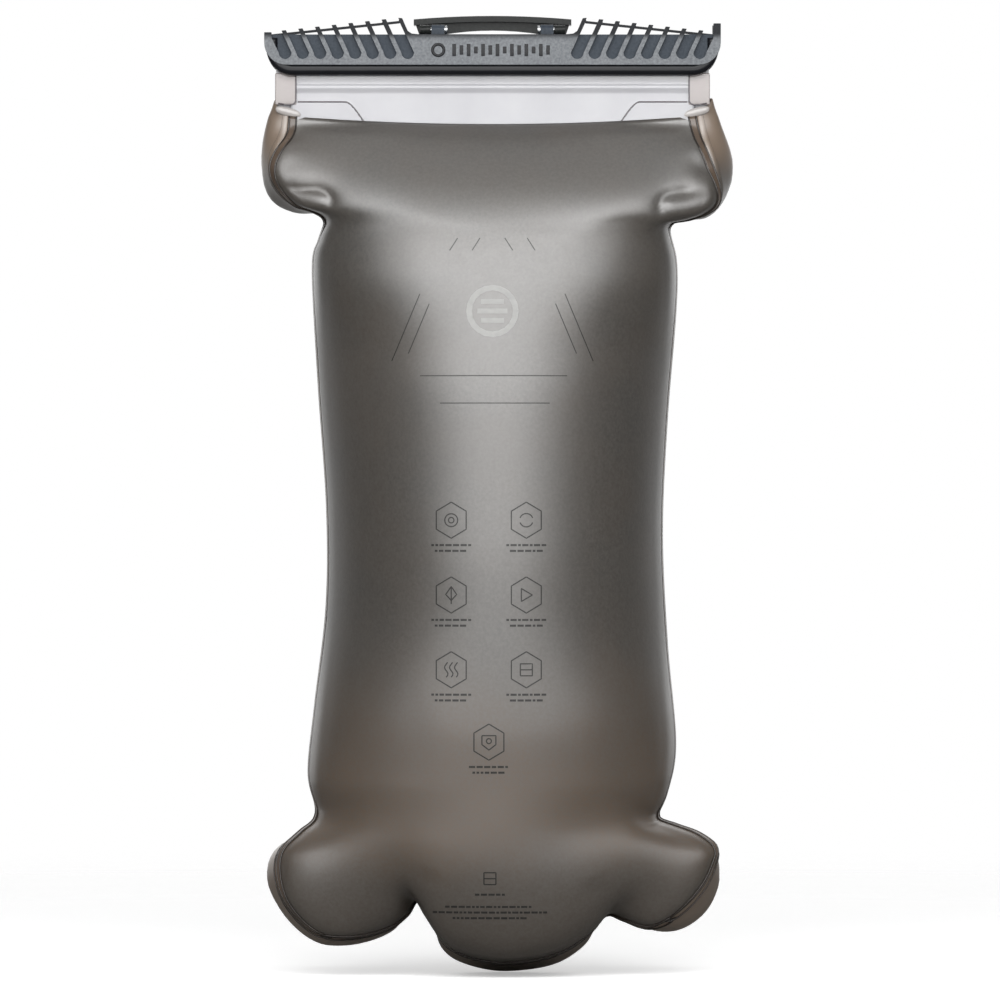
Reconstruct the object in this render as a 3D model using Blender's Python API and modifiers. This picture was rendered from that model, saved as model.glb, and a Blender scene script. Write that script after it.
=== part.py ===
"""Soft hydration bladder with a slide-on mouth closure, a hinged hang handle and a quick hose port.

The bag is a pillow of two film panels welded round their edge. A clear neck stands out of its top and ends
in two lips with bead rails. A C-channel slides over the rails to close the mouth and comes off towards +X.
The hose port sits low on the back wall, with an automatic shut-off valve and a push-button latch.

Units are metres, +Z is up, +X is to the right and the front faces -Y. Heights are measured from the lowest
point of the filled bag, and the root empty moves them so that the origin is the middle of the slider's roof,
under the handle.
"""
import math

import bmesh
import bpy
from mathutils import Matrix, Vector

# Frame
ROOF_HEIGHT = 0.3820            # top of the slider's roof above the lowest point of the bag
GAP = 0.0003                    # between pieces that touch

# Film panels
FILM = 0.0008
WELD_WIDTH = 0.0040             # flat weld fin round the pillow
FIN_HALF_GAP = 0.0002
BAG_TOP = 0.350
# Height, half width, half depth and rows of faces up to the next station. The narrow ones are the pinches.
BAG_STATIONS = (
    (0.000, 0.0800, 0.0390, 3),
    (0.025, 0.0870, 0.0390, 2),
    (0.045, 0.0925, 0.0395, 2),
    (0.058, 0.0860, 0.0410, 1),
    (0.066, 0.0690, 0.0420, 1),
    (0.074, 0.0740, 0.0430, 2),
    (0.100, 0.0750, 0.0460, 3),
    (0.165, 0.0695, 0.0490, 3),
    (0.240, 0.0720, 0.0470, 3),
    (0.290, 0.0745, 0.0390, 2),
    (0.306, 0.0700, 0.0320, 1),
    (0.314, 0.0900, 0.0270, 2),
    (0.329, 0.0965, 0.0160, 2),
    (0.341, 0.0945, 0.0070, 2),
    (BAG_TOP, 0.0940, 0.0038, 0),
)
BAG_COLUMNS = 18
BOTTOM_ROUNDING = 0.040         # height over which the bottom swells to its full depth
ACROSS_POWER = 3.0              # how square the panels' cross-section is
ACROSS_EASE = 0.60
RISE_POWER = 2.4                # how fast the bottom swells
RISE_EASE = 0.55
# Bottom lobes, left to right: left edge, right edge, lowest height, height of its notches
BOTTOM_LOBES = (
    (-0.100, -0.028, 0.012, 0.029),
    (-0.028, 0.045, 0.000, 0.026),
    (0.045, 0.100, 0.016, 0.025),
)

# Clear neck
STRIP_THICKNESS = 0.0012
MOUTH_HALF_GAP = 0.0022
STRIP_HALF_LENGTH = 0.0820
NECK_END = 0.0880
GUSSET_FOLD = 0.0030            # length of the end pieces' folded tip
NECK_BOTTOM = 0.3410
NECK_TOP = 0.3795
LAP_HALF_GAP = 0.0038           # panel clear of the strips where they lap
LAP_START = 0.3380
LAP_END = 0.0918
LAP_TAPER = 0.0030

# Bead rails
RAIL_HALF_LENGTH = 0.0860
RAIL_WIDTH = 0.0019
RAIL_BOTTOM = 0.3725
RAIL_TOP = 0.3785
RAIL_ROUNDING = 0.0005

# Slider channel
CHANNEL_HALF_LENGTH = 0.0918
CHANNEL_BOTTOM = 0.3654
CHANNEL_HALF_DEPTH = 0.0073
CAVITY_HALF_DEPTH = 0.0059
CAVITY_BOTTOM = 0.3715
CAVITY_TOP = 0.3802
LIP_HALF_GAP = 0.0040
END_WALL_INSIDE = 0.0892
CHANNEL_CORNER = 0.0110
CUT_START = -0.1000             # past the channel's open end
CUT_DROP = 0.0050               # past its underside
CUT_LAP = 0.0010                # how far one cut runs into the next

# Comb covers
COVER_HALF_LENGTH = 0.0926
COVER_THICKNESS = 0.0018
COVER_BOTTOM = 0.3696
COVER_CORNER = 0.0090
CENTRE_HALF_LENGTH = 0.0300
SHOULDER = ((0.0328, 0.3823), (0.0344, 0.3834))     # rise from the roof to the first rib
FIRST_TIP = 0.0366
RIB_TIP_INNER = 0.3885
RIB_TIP_OUTER = 0.3828
SLOTS = 8
SLOT_FIRST = 0.0332
SLOT_PITCH = 0.0071
SLOT_HALF_WIDTH = 0.0026
SLOT_BOTTOM = 0.3719
SLOT_LEAN = 0.457
END_POST_TOP = 0.3864
END_POST_WIDTH = 0.0030
END_NOTCH = 0.3806              # foot of the step beside the end post
TIP_LEVEL = 0.3850              # height at which a slot's edges are matched to the rib tips
RIM_THICKNESS = 0.0010
RIM_SINK = 0.0002               # rim below the rib tips and inside the plate's faces
RIM_INNER = 0.0378
RIM_OUTER = 0.0905

# Handle
HINGE_HEIGHT = 0.3843
LUG_INNER = 0.0196
LUG_OUTER = 0.0248
LUG_HALF_DEPTH = 0.0023
LUG_TOP = 0.3863
LUG_ROOT = 0.0008               # how deep the lugs run into the roof
BORE_REACH = 0.0310
PIN_RADIUS = 0.0010
PIN_HOLE_RADIUS = 0.0013
PIN_HEAD_RADIUS = 0.0017
PIN_HEAD_LENGTH = 0.0009
PIN_SETBACK = 0.0003            # tip inside the arm's outer face
PIN_POINT_RADIUS = 0.0007
PIN_POINT_LENGTH = 0.0004
ARM_INNER = 0.0251
ARM_OUTER = 0.0295
ARM_BOTTOM = 0.3823
ARM_TOP = 0.3853
EYE_RADIUS = 0.0019
GRIP_BACK = 0.0225              # from the hinge to the middle of the grip's web
WEB_THICKNESS = 0.0022
FLANGE_DEPTH = 0.0090
FLANGE_THICKNESS = 0.0024
GRIP_TOP_MIDDLE = 0.3909
GRIP_TOP_END = 0.3895
GRIP_HALF_LENGTH = 0.0322
WEB_FOOT_HALF_LENGTH = 0.0296
WEB_BOTTOM_MIDDLE = 0.3851
WEB_BOTTOM_END = 0.3822
GRIP_OPENING_HALF = 0.0204
GRIP_OPENING_RISE = 0.0012      # spring line of the opening's arch above the web's foot
WEB_TAPER = 0.985               # the web's top against the flange's

# Hose port. Depths are from the flange's inner face outwards, along +Y.
PORT_HEIGHT = 0.0780
PORT_FACE = 0.0431
PORT_PATCH = 0.0310             # radius of the flat patch of film under the flange
PORT_BLEND = 0.0450
FLANGE_RADIUS = 0.0210
FLANGE_PLATE = 0.0015
FLANGE_CHAMFER = 0.0014
FLANGE_EDGE = 0.0007
NECK_BACK = -0.0065
NECK_RADIUS = 0.0102
PANEL_HOLE_RADIUS = 0.0106
HOUSING_RADIUS = 0.0160
HOUSING_TUBE_RADIUS = 0.0081
HOUSING_FRONT = 0.0112
HOUSING_BACK = -0.0113
HOUSING_EDGE = 0.0008
SOCKET_CHAMFER = 0.0006
SOCKET_RADIUS = 0.0050
CHAMBER_RADIUS = 0.0056
SEAT_RADIUS = 0.0030
SEAT_FACE = -0.0013
RING_DEPTH = 0.0031
RING_SECTION = 0.0009
RING_RADIUS = 0.0057
LATCH_HALF_WIDTH = 0.0079
LATCH_CLEARANCE = 0.0004
LATCH_BACK = 0.0057
LATCH_FRONT = 0.0079
LATCH_POCKET_BOTTOM = -0.0142
LATCH_BOTTOM = -0.0099
LATCH_HOLE_RADIUS = 0.0054
LATCH_HOLE_RISE = 0.0009
LATCH_CORNER = 0.0020
LATCH_NECK = 0.0052
LATCH_SHOULDER_LOW = 0.0100
LATCH_SHOULDER_HIGH = 0.0128
PAD_HALF_WIDTH = 0.0065
PAD_BOTTOM = 0.0183
PAD_TOP = 0.0213
PAD_BACK = 0.0024
PAD_FRONT = 0.0108
PAD_LAP = 0.0005
PAD_ROUNDING = 0.0008
POPPET_RADIUS = 0.0050
POPPET_FACE = SEAT_FACE - GAP
POPPET_BACK = -0.0036
NOSE_TIP = 0.0030               # the stem's end in the socket, which the hose plug pushes
NOSE_RADIUS = 0.0012
NOSE_ROUNDING = 0.0003
STEM_END = -0.0125
STEM_RADIUS = 0.0010
SEAL_GROOVE_INNER = 0.0032
SEAL_GROOVE_OUTER = 0.0046
SEAL_GROOVE_FLOOR = -0.0028
FACE_SEAL_RADIUS = 0.0039
FACE_SEAL_SECTION = 0.0004
FACE_SEAL_DEPTH = -0.0021
GUIDE_RADIUS = 0.0014
RETAINER_BACK = -0.0110
RETAINER_FRONT = -0.0097
FLOW_HOLES = 6
FLOW_HOLE_RADIUS = 0.0010
FLOW_CIRCLE = 0.0034
COIL_STEPS = 8                  # straight pieces in one turn of a spring
VALVE_WIRE = 0.00030            # radius
VALVE_COIL = 0.0026
VALVE_TURNS = 4
LATCH_WIRE = 0.00018
LATCH_COIL = 0.0008
LATCH_TURNS = 5

# Colours: linear RGB, roughness, metallic
FINISHES = {
    "film": ((0.125, 0.115, 0.105), 0.42, 0.0),
    "clear": ((0.80, 0.80, 0.82), 0.12, 0.0),
    "channel": ((0.020, 0.022, 0.026), 0.35, 0.0),
    "cover": ((0.160, 0.175, 0.195), 0.45, 0.0),
    "handle": ((0.035, 0.038, 0.036), 0.40, 0.0),
    "pin": ((0.55, 0.56, 0.57), 0.30, 1.0),
    "port": ((0.045, 0.048, 0.052), 0.45, 0.0),
    "button": ((0.210, 0.225, 0.240), 0.45, 0.0),
    "seal": ((0.012, 0.012, 0.012), 0.60, 0.0),
    "valve": ((0.60, 0.60, 0.58), 0.40, 0.0),
    "spring": ((0.60, 0.60, 0.60), 0.25, 1.0),
}


# ---------------------------------------------------------------- scene and helpers

def clear_scene():
    """Removes every object that the file starts with."""
    for obj in list(bpy.data.objects):
        bpy.data.objects.remove(obj, do_unlink=True)


def new_collection(name):
    """A collection under the scene's own."""
    collection = bpy.data.collections.new(name)
    bpy.context.scene.collection.children.link(collection)
    return collection


clear_scene()
PARTS = new_collection("hydration_bladder")
CUTTERS = new_collection("cutters")
ROOT = bpy.data.objects.new("bag_base", None)
ROOT.location = (0, 0, -ROOF_HEIGHT)
PARTS.objects.link(ROOT)


def make_material(name, finish):
    """One Principled material for one sub-part."""
    colour, roughness, metallic = FINISHES[finish]
    material = bpy.data.materials.new(name)
    material.use_nodes = True
    shader = material.node_tree.nodes["Principled BSDF"]
    shader.inputs["Base Color"].default_value = (*colour, 1)
    shader.inputs["Roughness"].default_value = roughness
    shader.inputs["Metallic"].default_value = metallic
    return material


def place(name, mesh, finish, location=(0, 0, 0), rotation=(0, 0, 0)):
    """Puts a mesh in the assembly as a named part."""
    obj = bpy.data.objects.new(name, mesh)
    mesh.materials.clear()
    mesh.materials.append(make_material(name, finish))
    obj.parent = ROOT
    obj.location = location
    obj.rotation_euler = rotation
    PARTS.objects.link(obj)
    return obj


def place_cutter(name, mesh, location=(0, 0, 0), rotation=(0, 0, 0)):
    """Puts a mesh aside as a Boolean operand, out of the render."""
    obj = bpy.data.objects.new(name, mesh)
    obj.parent = ROOT
    obj.location = location
    obj.rotation_euler = rotation
    obj.hide_render = True
    obj.display_type = "WIRE"
    CUTTERS.objects.link(obj)
    return obj


def mesh_from(bm, name):
    """Turns a bmesh into mesh data."""
    mesh = bpy.data.meshes.new(name)
    bm.to_mesh(mesh)
    bm.free()
    return mesh


def box_mesh(name, low, high):
    """An axis-aligned box between two corners."""
    low, high = Vector(low), Vector(high)
    size = high - low
    bm = bmesh.new()
    bmesh.ops.create_cube(bm, size=1)
    bmesh.ops.transform(bm, verts=bm.verts, matrix=Matrix.Diagonal((*size, 1)))
    bmesh.ops.translate(bm, verts=bm.verts, vec=(low + high) / 2)
    return mesh_from(bm, name)


def rod_mesh(name, radius, start, end, axis="Z", segments=32):
    """A round rod along an axis, from start to end."""
    bm = bmesh.new()
    bmesh.ops.create_cone(bm, cap_ends=True, segments=segments, radius1=radius, radius2=radius,
                          depth=end - start)
    bmesh.ops.translate(bm, verts=bm.verts, vec=(0, 0, (start + end) / 2))
    if axis == "X":
        bmesh.ops.rotate(bm, verts=bm.verts, matrix=Matrix.Rotation(math.radians(90), 3, "Y"))
    if axis == "Y":
        bmesh.ops.rotate(bm, verts=bm.verts, matrix=Matrix.Rotation(math.radians(-90), 3, "X"))
    return mesh_from(bm, name)


def prism_mesh(name, points, low, high, plane="XZ"):
    """A flat closed outline with thickness: in XZ it is extruded along Y, in YZ along X, in XY along Z."""
    curve = bpy.data.curves.new(name, "CURVE")
    curve.dimensions = "2D"
    curve.fill_mode = "BOTH"
    curve.extrude = (high - low) / 2
    spline = curve.splines.new("POLY")
    spline.points.add(len(points) - 1)
    for point, (a, b) in zip(spline.points, points):
        point.co = (a, b, 0, 1)
    spline.use_cyclic_u = True
    holder = bpy.data.objects.new(name, curve)
    bpy.context.scene.collection.objects.link(holder)
    evaluated = holder.evaluated_get(bpy.context.evaluated_depsgraph_get())
    mesh = bpy.data.meshes.new_from_object(evaluated)
    bpy.data.objects.remove(holder)
    turn = {
        "XY": Matrix.Identity(3),
        "XZ": Matrix.Rotation(math.radians(90), 3, "X"),
        "YZ": Matrix(((0, 0, 1), (1, 0, 0), (0, 1, 0))),
    }[plane]
    middle = (low + high) / 2
    along = {"XY": (0, 0, middle), "XZ": (0, middle, 0), "YZ": (middle, 0, 0)}[plane]
    bm = bmesh.new()
    bm.from_mesh(mesh)
    bpy.data.meshes.remove(mesh)
    bmesh.ops.remove_doubles(bm, verts=bm.verts, dist=1e-6)
    bmesh.ops.rotate(bm, verts=bm.verts, matrix=turn)
    bmesh.ops.translate(bm, verts=bm.verts, vec=along)
    bmesh.ops.recalc_face_normals(bm, faces=bm.faces)
    return mesh_from(bm, name)


def turned_mesh(name, profile, closed):
    """A profile in local XZ for a Screw modifier, which runs down its outer side."""
    mesh = bpy.data.meshes.new(name)
    edges = [(i, i + 1) for i in range(len(profile) - 1)]
    if closed:
        edges.append((len(profile) - 1, 0))
    mesh.from_pydata([(radius, 0, height) for radius, height in profile], edges, [])
    return mesh


def add_screw(obj, steps):
    """Turns a profile round its local Z."""
    screw = obj.modifiers.new("turn", "SCREW")
    screw.steps = steps
    screw.render_steps = steps
    screw.use_merge_vertices = True
    screw.merge_threshold = 0.00002
    screw.use_smooth_shade = True


def add_boolean(obj, operand, operation):
    """Cuts or joins with an operand, which is kept out of the render."""
    boolean = obj.modifiers.new(operand.name, "BOOLEAN")
    boolean.operation = operation
    boolean.object = operand


def add_bevel(obj, width, segments=2):
    """Rounds the sharp edges."""
    bevel = obj.modifiers.new("rounding", "BEVEL")
    bevel.width = width
    bevel.segments = segments
    bevel.limit_method = "ANGLE"
    bevel.angle_limit = math.radians(40)


def move_origin(obj, point):
    """Puts an object's origin on a point, such as its joint's axis, without moving its shape."""
    obj.data.transform(Matrix.Translation(-Vector(point)))
    obj.location = point


def arc(centre, radius, start, end, steps):
    """Points of an arc in degrees, from start to end."""
    angles = [math.radians(start + (end - start) * i / steps) for i in range(steps + 1)]
    return [(centre[0] + radius * math.cos(a), centre[1] + radius * math.sin(a)) for a in angles]


def eased(stations, column, height):
    """A smooth value between stations, each level at its own height."""
    if height <= stations[0][0]:
        return stations[0][column]
    for lower, upper in zip(stations, stations[1:]):
        if height <= upper[0]:
            share = (height - lower[0]) / (upper[0] - lower[0])
            share = share * share * (3 - 2 * share)
            return lower[column] + (upper[column] - lower[column]) * share
    return stations[-1][column]


# ---------------------------------------------------------------- film panels

def bottom_height(x):
    """Height of the bag's bottom edge at x: three hanging lobes with notches between them."""
    for left, right, low, notch in BOTTOM_LOBES:
        if left <= x <= right:
            share = (x - (left + right) / 2) / ((right - left) / 2)
            return low + (notch - low) * (1 - math.cos(math.pi / 2 * share))
    return 0.0


def film_depth(x, height, half_width):
    """How far a panel stands out from the weld plane."""
    inside = half_width - WELD_WIDTH
    across = max(0.0, 1 - min(abs(x) / inside, 1.0) ** ACROSS_POWER) ** ACROSS_EASE
    rise = min(max(height - WELD_WIDTH, 0) / BOTTOM_ROUNDING, 1.0)
    bottom = (1 - (1 - rise) ** RISE_POWER) ** RISE_EASE
    depth = eased(BAG_STATIONS, 2, height) * across * bottom
    if height >= LAP_START:
        lap = LAP_HALF_GAP * min(max((LAP_END - abs(x)) / LAP_TAPER, 0.0), 1.0)
        depth = max(depth, lap)
    return depth


def row_heights():
    """Nominal heights of the rows of vertices, closer together at the pinches and ends."""
    heights = []
    for lower, upper in zip(BAG_STATIONS, BAG_STATIONS[1:]):
        rows = lower[3]
        heights += [lower[0] + (upper[0] - lower[0]) * i / rows for i in range(rows)]
    return heights + [BAG_TOP]


def make_panel(name, side):
    """One film panel: side is -1 for the front and +1 for the back."""
    heights = row_heights()
    rows = len(heights)
    bm = bmesh.new()
    bmesh.ops.create_grid(bm, x_segments=BAG_COLUMNS, y_segments=rows - 1, size=1)
    for vert in bm.verts:
        column = math.sin(vert.co.x * math.pi / 2)
        nominal = heights[round((vert.co.y + 1) / 2 * (rows - 1))]
        half_width = eased(BAG_STATIONS, 1, nominal)
        x = column * half_width
        base = bottom_height(x)
        depth = film_depth(x, nominal, half_width)
        z = base + nominal * (BAG_TOP - base) / BAG_TOP
        if side > 0:
            reach = math.hypot(x, z - PORT_HEIGHT)
            share = min(max((PORT_BLEND - reach) / (PORT_BLEND - PORT_PATCH), 0.0), 1.0)
            patch = PORT_FACE - GAP - FILM - FIN_HALF_GAP
            depth += (patch - depth) * share
        vert.co = (x, side * (FIN_HALF_GAP + depth), z)
    if side > 0:
        bmesh.ops.reverse_faces(bm, faces=bm.faces)
    panel = place(name, mesh_from(bm, name), "film")
    shell = panel.modifiers.new("film", "SOLIDIFY")
    shell.thickness = FILM
    shell.offset = 1
    return panel


def make_film():
    """Front and back walls of the bag, with the port's hole in the back one."""
    make_panel("front_panel", -1)
    back = make_panel("back_panel", 1)
    hole = rod_mesh("port_hole", PANEL_HOLE_RADIUS, PORT_FACE - NECK_RADIUS, PORT_FACE + NECK_RADIUS, "Y")
    add_boolean(back, place_cutter("port_hole", hole, location=(0, 0, PORT_HEIGHT)), "DIFFERENCE")


# ---------------------------------------------------------------- clear neck

def make_neck():
    """Front and back lips, the folded end pieces between them, and the bead rails outside."""
    inner, outer = MOUTH_HALF_GAP, MOUTH_HALF_GAP + STRIP_THICKNESS
    for name, side in (("mouth_front_strip", -1), ("mouth_back_strip", 1)):
        low, high = sorted((side * inner, side * outer))
        strip = box_mesh(name, (-STRIP_HALF_LENGTH, low, NECK_BOTTOM), (STRIP_HALF_LENGTH, high, NECK_TOP))
        place(name, strip, "clear")
    start = STRIP_HALF_LENGTH + GAP
    fold = NECK_END - GUSSET_FOLD
    wall = STRIP_THICKNESS
    half = [(start, outer), (fold, outer), (NECK_END, outer / 3)]
    back = [(NECK_END - wall, inner / 3), (fold - wall / 2, inner), (start, inner)]
    outline = half + [(x, -y) for x, y in reversed(half)]
    outline += [(x, -y) for x, y in reversed(back)] + back
    for name, side in (("mouth_left_gusset", -1), ("mouth_right_gusset", 1)):
        points = [(side * x, y) for x, y in outline]
        place(name, prism_mesh(name, points, NECK_BOTTOM, NECK_TOP, "XY"), "clear")
    for name, side in (("front_rail", -1), ("back_rail", 1)):
        near = outer + GAP
        low, high = sorted((side * near, side * (near + RAIL_WIDTH)))
        rail = box_mesh(name, (-RAIL_HALF_LENGTH, low, RAIL_BOTTOM), (RAIL_HALF_LENGTH, high, RAIL_TOP))
        add_bevel(place(name, rail, "clear"), RAIL_ROUNDING)


# ---------------------------------------------------------------- slider

def channel_outline():
    """Front view of the channel, with round lower corners."""
    corner_x = CHANNEL_HALF_LENGTH - CHANNEL_CORNER
    corner_z = CHANNEL_BOTTOM + CHANNEL_CORNER
    right = arc((corner_x, corner_z), CHANNEL_CORNER, -90, 0, 8)
    left = arc((-corner_x, corner_z), CHANNEL_CORNER, 180, 270, 8)
    return right + [(CHANNEL_HALF_LENGTH, ROOF_HEIGHT), (-CHANNEL_HALF_LENGTH, ROOF_HEIGHT)] + left


def make_channel():
    """C-channel that pinches the lips, open at -X and closed by an end wall at +X, with the handle's lugs."""
    body = prism_mesh("slider_channel", channel_outline(), -CHANNEL_HALF_DEPTH, CHANNEL_HALF_DEPTH)
    channel = place("slider_channel", body, "channel")
    cavity = box_mesh("rail_cavity", (CUT_START, -CAVITY_HALF_DEPTH, CAVITY_BOTTOM),
                      (END_WALL_INSIDE, CAVITY_HALF_DEPTH, CAVITY_TOP))
    add_boolean(channel, place_cutter("rail_cavity", cavity), "DIFFERENCE")
    mouth = box_mesh("lip_gap", (CUT_START, -LIP_HALF_GAP, CHANNEL_BOTTOM - CUT_DROP),
                     (END_WALL_INSIDE, LIP_HALF_GAP, CAVITY_BOTTOM + CUT_LAP))
    add_boolean(channel, place_cutter("lip_gap", mouth), "DIFFERENCE")
    for name, side in (("lug_left", -1), ("lug_right", 1)):
        low, high = sorted((side * LUG_INNER, side * LUG_OUTER))
        crown = arc((0, LUG_TOP - LUG_HALF_DEPTH), LUG_HALF_DEPTH, 0, 180, 8)
        foot = ROOF_HEIGHT - LUG_ROOT
        outline = [(-LUG_HALF_DEPTH, foot), (LUG_HALF_DEPTH, foot)] + crown
        lug = place_cutter(name, prism_mesh(name, outline, low, high, "YZ"))
        add_boolean(channel, lug, "UNION")
    bore = rod_mesh("pin_bore", PIN_HOLE_RADIUS, -BORE_REACH, BORE_REACH, "X", 24)
    add_boolean(channel, place_cutter("pin_bore", bore, location=(0, 0, HINGE_HEIGHT)), "DIFFERENCE")


def tip_height(x):
    """Height of the rib tips at a distance from the middle."""
    first = slot_edge(0, -1, RIB_TIP_INNER)
    share = (x - first) / (COVER_HALF_LENGTH - first)
    return RIB_TIP_INNER + (RIB_TIP_OUTER - RIB_TIP_INNER) * share


def slot_edge(index, edge, height):
    """Distance from the middle of a slot's edge at a height: edge is -1 inboard and +1 outboard."""
    bottom = SLOT_FIRST + SLOT_PITCH * index
    return bottom + edge * SLOT_HALF_WIDTH + SLOT_LEAN * (height - SLOT_BOTTOM)


def comb_half(end_top):
    """Half of a comb plate's top edge, from the middle outwards: ribs with leaning slots between them."""
    points = [(CENTRE_HALF_LENGTH, ROOF_HEIGHT), *SHOULDER, (FIRST_TIP, RIB_TIP_INNER)]
    for index in range(SLOTS):
        centre = SLOT_FIRST + SLOT_PITCH * index + SLOT_LEAN * SLOT_HALF_WIDTH
        low = SLOT_BOTTOM + SLOT_HALF_WIDTH
        last = index == SLOTS - 1
        inner_tip = tip_height(slot_edge(index, -1, TIP_LEVEL))
        outer_tip = end_top if last else tip_height(slot_edge(index, 1, TIP_LEVEL))
        points.append((slot_edge(index, -1, inner_tip), inner_tip))
        points += arc((centre, low), SLOT_HALF_WIDTH, 180, 360, 6)
        if last:
            points.append((COVER_HALF_LENGTH - END_POST_WIDTH, END_NOTCH))
            points.append((COVER_HALF_LENGTH - END_POST_WIDTH, end_top))
        else:
            points.append((slot_edge(index, 1, outer_tip), outer_tip))
    points.append((COVER_HALF_LENGTH, end_top))
    centre = (COVER_HALF_LENGTH - COVER_CORNER, COVER_BOTTOM + COVER_CORNER)
    return points + arc(centre, COVER_CORNER, 0, -90, 8)


def make_covers():
    """Comb plates on the front and back of the channel. The back one has a rim along its rib tips."""
    right = comb_half(END_POST_TOP)
    left = comb_half(RIB_TIP_OUTER)
    outline = [(-x, z) for x, z in reversed(left)] + right
    near = CHANNEL_HALF_DEPTH + GAP
    front = prism_mesh("slider_front_cover", outline, -near - COVER_THICKNESS, -near)
    place("slider_front_cover", front, "cover")
    back = prism_mesh("slider_back_cover", outline, near, near + COVER_THICKNESS)
    back_cover = place("slider_back_cover", back, "cover")
    for name, side in (("rim_left", -1), ("rim_right", 1)):
        rim = [(x, tip_height(x) - RIM_SINK) for x in (RIM_INNER, RIM_OUTER)]
        rim += [(x, z - RIM_THICKNESS) for x, z in reversed(rim)]
        rim = prism_mesh(name, [(side * x, z) for x, z in rim], near + RIM_SINK,
                         near + COVER_THICKNESS - RIM_SINK)
        add_boolean(back_cover, place_cutter(name, rim), "UNION")


# ---------------------------------------------------------------- handle

def arch(half_length, middle, end, steps=10):
    """Points of a shallow arch from -half_length to +half_length."""
    points = []
    for i in range(steps + 1):
        x = half_length * (2 * i / steps - 1)
        points.append((x, middle + (end - middle) * (x / half_length) ** 2))
    return points


def make_handle():
    """Arched T-section grip on two arms, folded back on the rear cover, with its origin on the hinge axis."""
    top = arch(GRIP_HALF_LENGTH, GRIP_TOP_MIDDLE, GRIP_TOP_END)
    under = [(x, z - FLANGE_THICKNESS) for x, z in top]
    flange = prism_mesh("handle", top + list(reversed(under)), GRIP_BACK - FLANGE_DEPTH / 2,
                        GRIP_BACK + FLANGE_DEPTH / 2)
    handle = place("handle", flange, "handle")
    web_top = [(x * WEB_TAPER, z - FLANGE_THICKNESS / 2) for x, z in top]
    opening = arch(GRIP_OPENING_HALF, WEB_BOTTOM_MIDDLE, WEB_BOTTOM_END + GRIP_OPENING_RISE, 8)
    foot = [(-WEB_FOOT_HALF_LENGTH, WEB_BOTTOM_END), (-GRIP_OPENING_HALF, WEB_BOTTOM_END)]
    bottom = foot + opening + [(-x, z) for x, z in reversed(foot)]
    web = prism_mesh("grip_web", web_top + list(reversed(bottom)), GRIP_BACK - WEB_THICKNESS / 2,
                     GRIP_BACK + WEB_THICKNESS / 2)
    operands = [place_cutter("grip_web", web)]
    arm = [(0, ARM_TOP), (0, ARM_BOTTOM), (GRIP_BACK, ARM_BOTTOM), (GRIP_BACK, ARM_TOP)]
    for name, side in (("left", -1), ("right", 1)):
        low, high = sorted((side * ARM_INNER, side * ARM_OUTER))
        operands.append(place_cutter("arm_" + name, prism_mesh("arm", arm, low, high, "YZ")))
        eye = rod_mesh("eye", EYE_RADIUS, low, high, "X", 24)
        operands.append(place_cutter("eye_" + name, eye, location=(0, 0, HINGE_HEIGHT)))
    for operand in operands:
        add_boolean(handle, operand, "UNION")
    bore = rod_mesh("handle_bore", PIN_HOLE_RADIUS, -BORE_REACH, BORE_REACH, "X", 24)
    add_boolean(handle, place_cutter("handle_bore", bore, location=(0, 0, HINGE_HEIGHT)), "DIFFERENCE")
    move_origin(handle, (0, 0, HINGE_HEIGHT))


def make_pins():
    """Headed pins through the lugs into the handle's eyes."""
    head = LUG_INNER - GAP
    tip = ARM_OUTER - PIN_SETBACK
    profile = [(0, tip), (PIN_POINT_RADIUS, tip), (PIN_RADIUS, tip - PIN_POINT_LENGTH), (PIN_RADIUS, head),
               (PIN_HEAD_RADIUS, head), (PIN_HEAD_RADIUS, head - PIN_HEAD_LENGTH),
               (0, head - PIN_HEAD_LENGTH)]
    for name, side in (("handle_pin_left", -1), ("handle_pin_right", 1)):
        pin = place(name, turned_mesh(name, profile, False), "pin", location=(0, 0, HINGE_HEIGHT),
                    rotation=(0, side * math.radians(90), 0))
        add_screw(pin, 20)


# ---------------------------------------------------------------- hose port

FACING_BACK = (math.radians(-90), 0, 0)
PORT_ORIGIN = (0, PORT_FACE, PORT_HEIGHT)


def port_box(name, low, high):
    """A box in the port's own axes: x across, y outwards and z up, from the port's origin."""
    origin = Vector(PORT_ORIGIN)
    return box_mesh(name, origin + Vector(low), origin + Vector(high))


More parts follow.
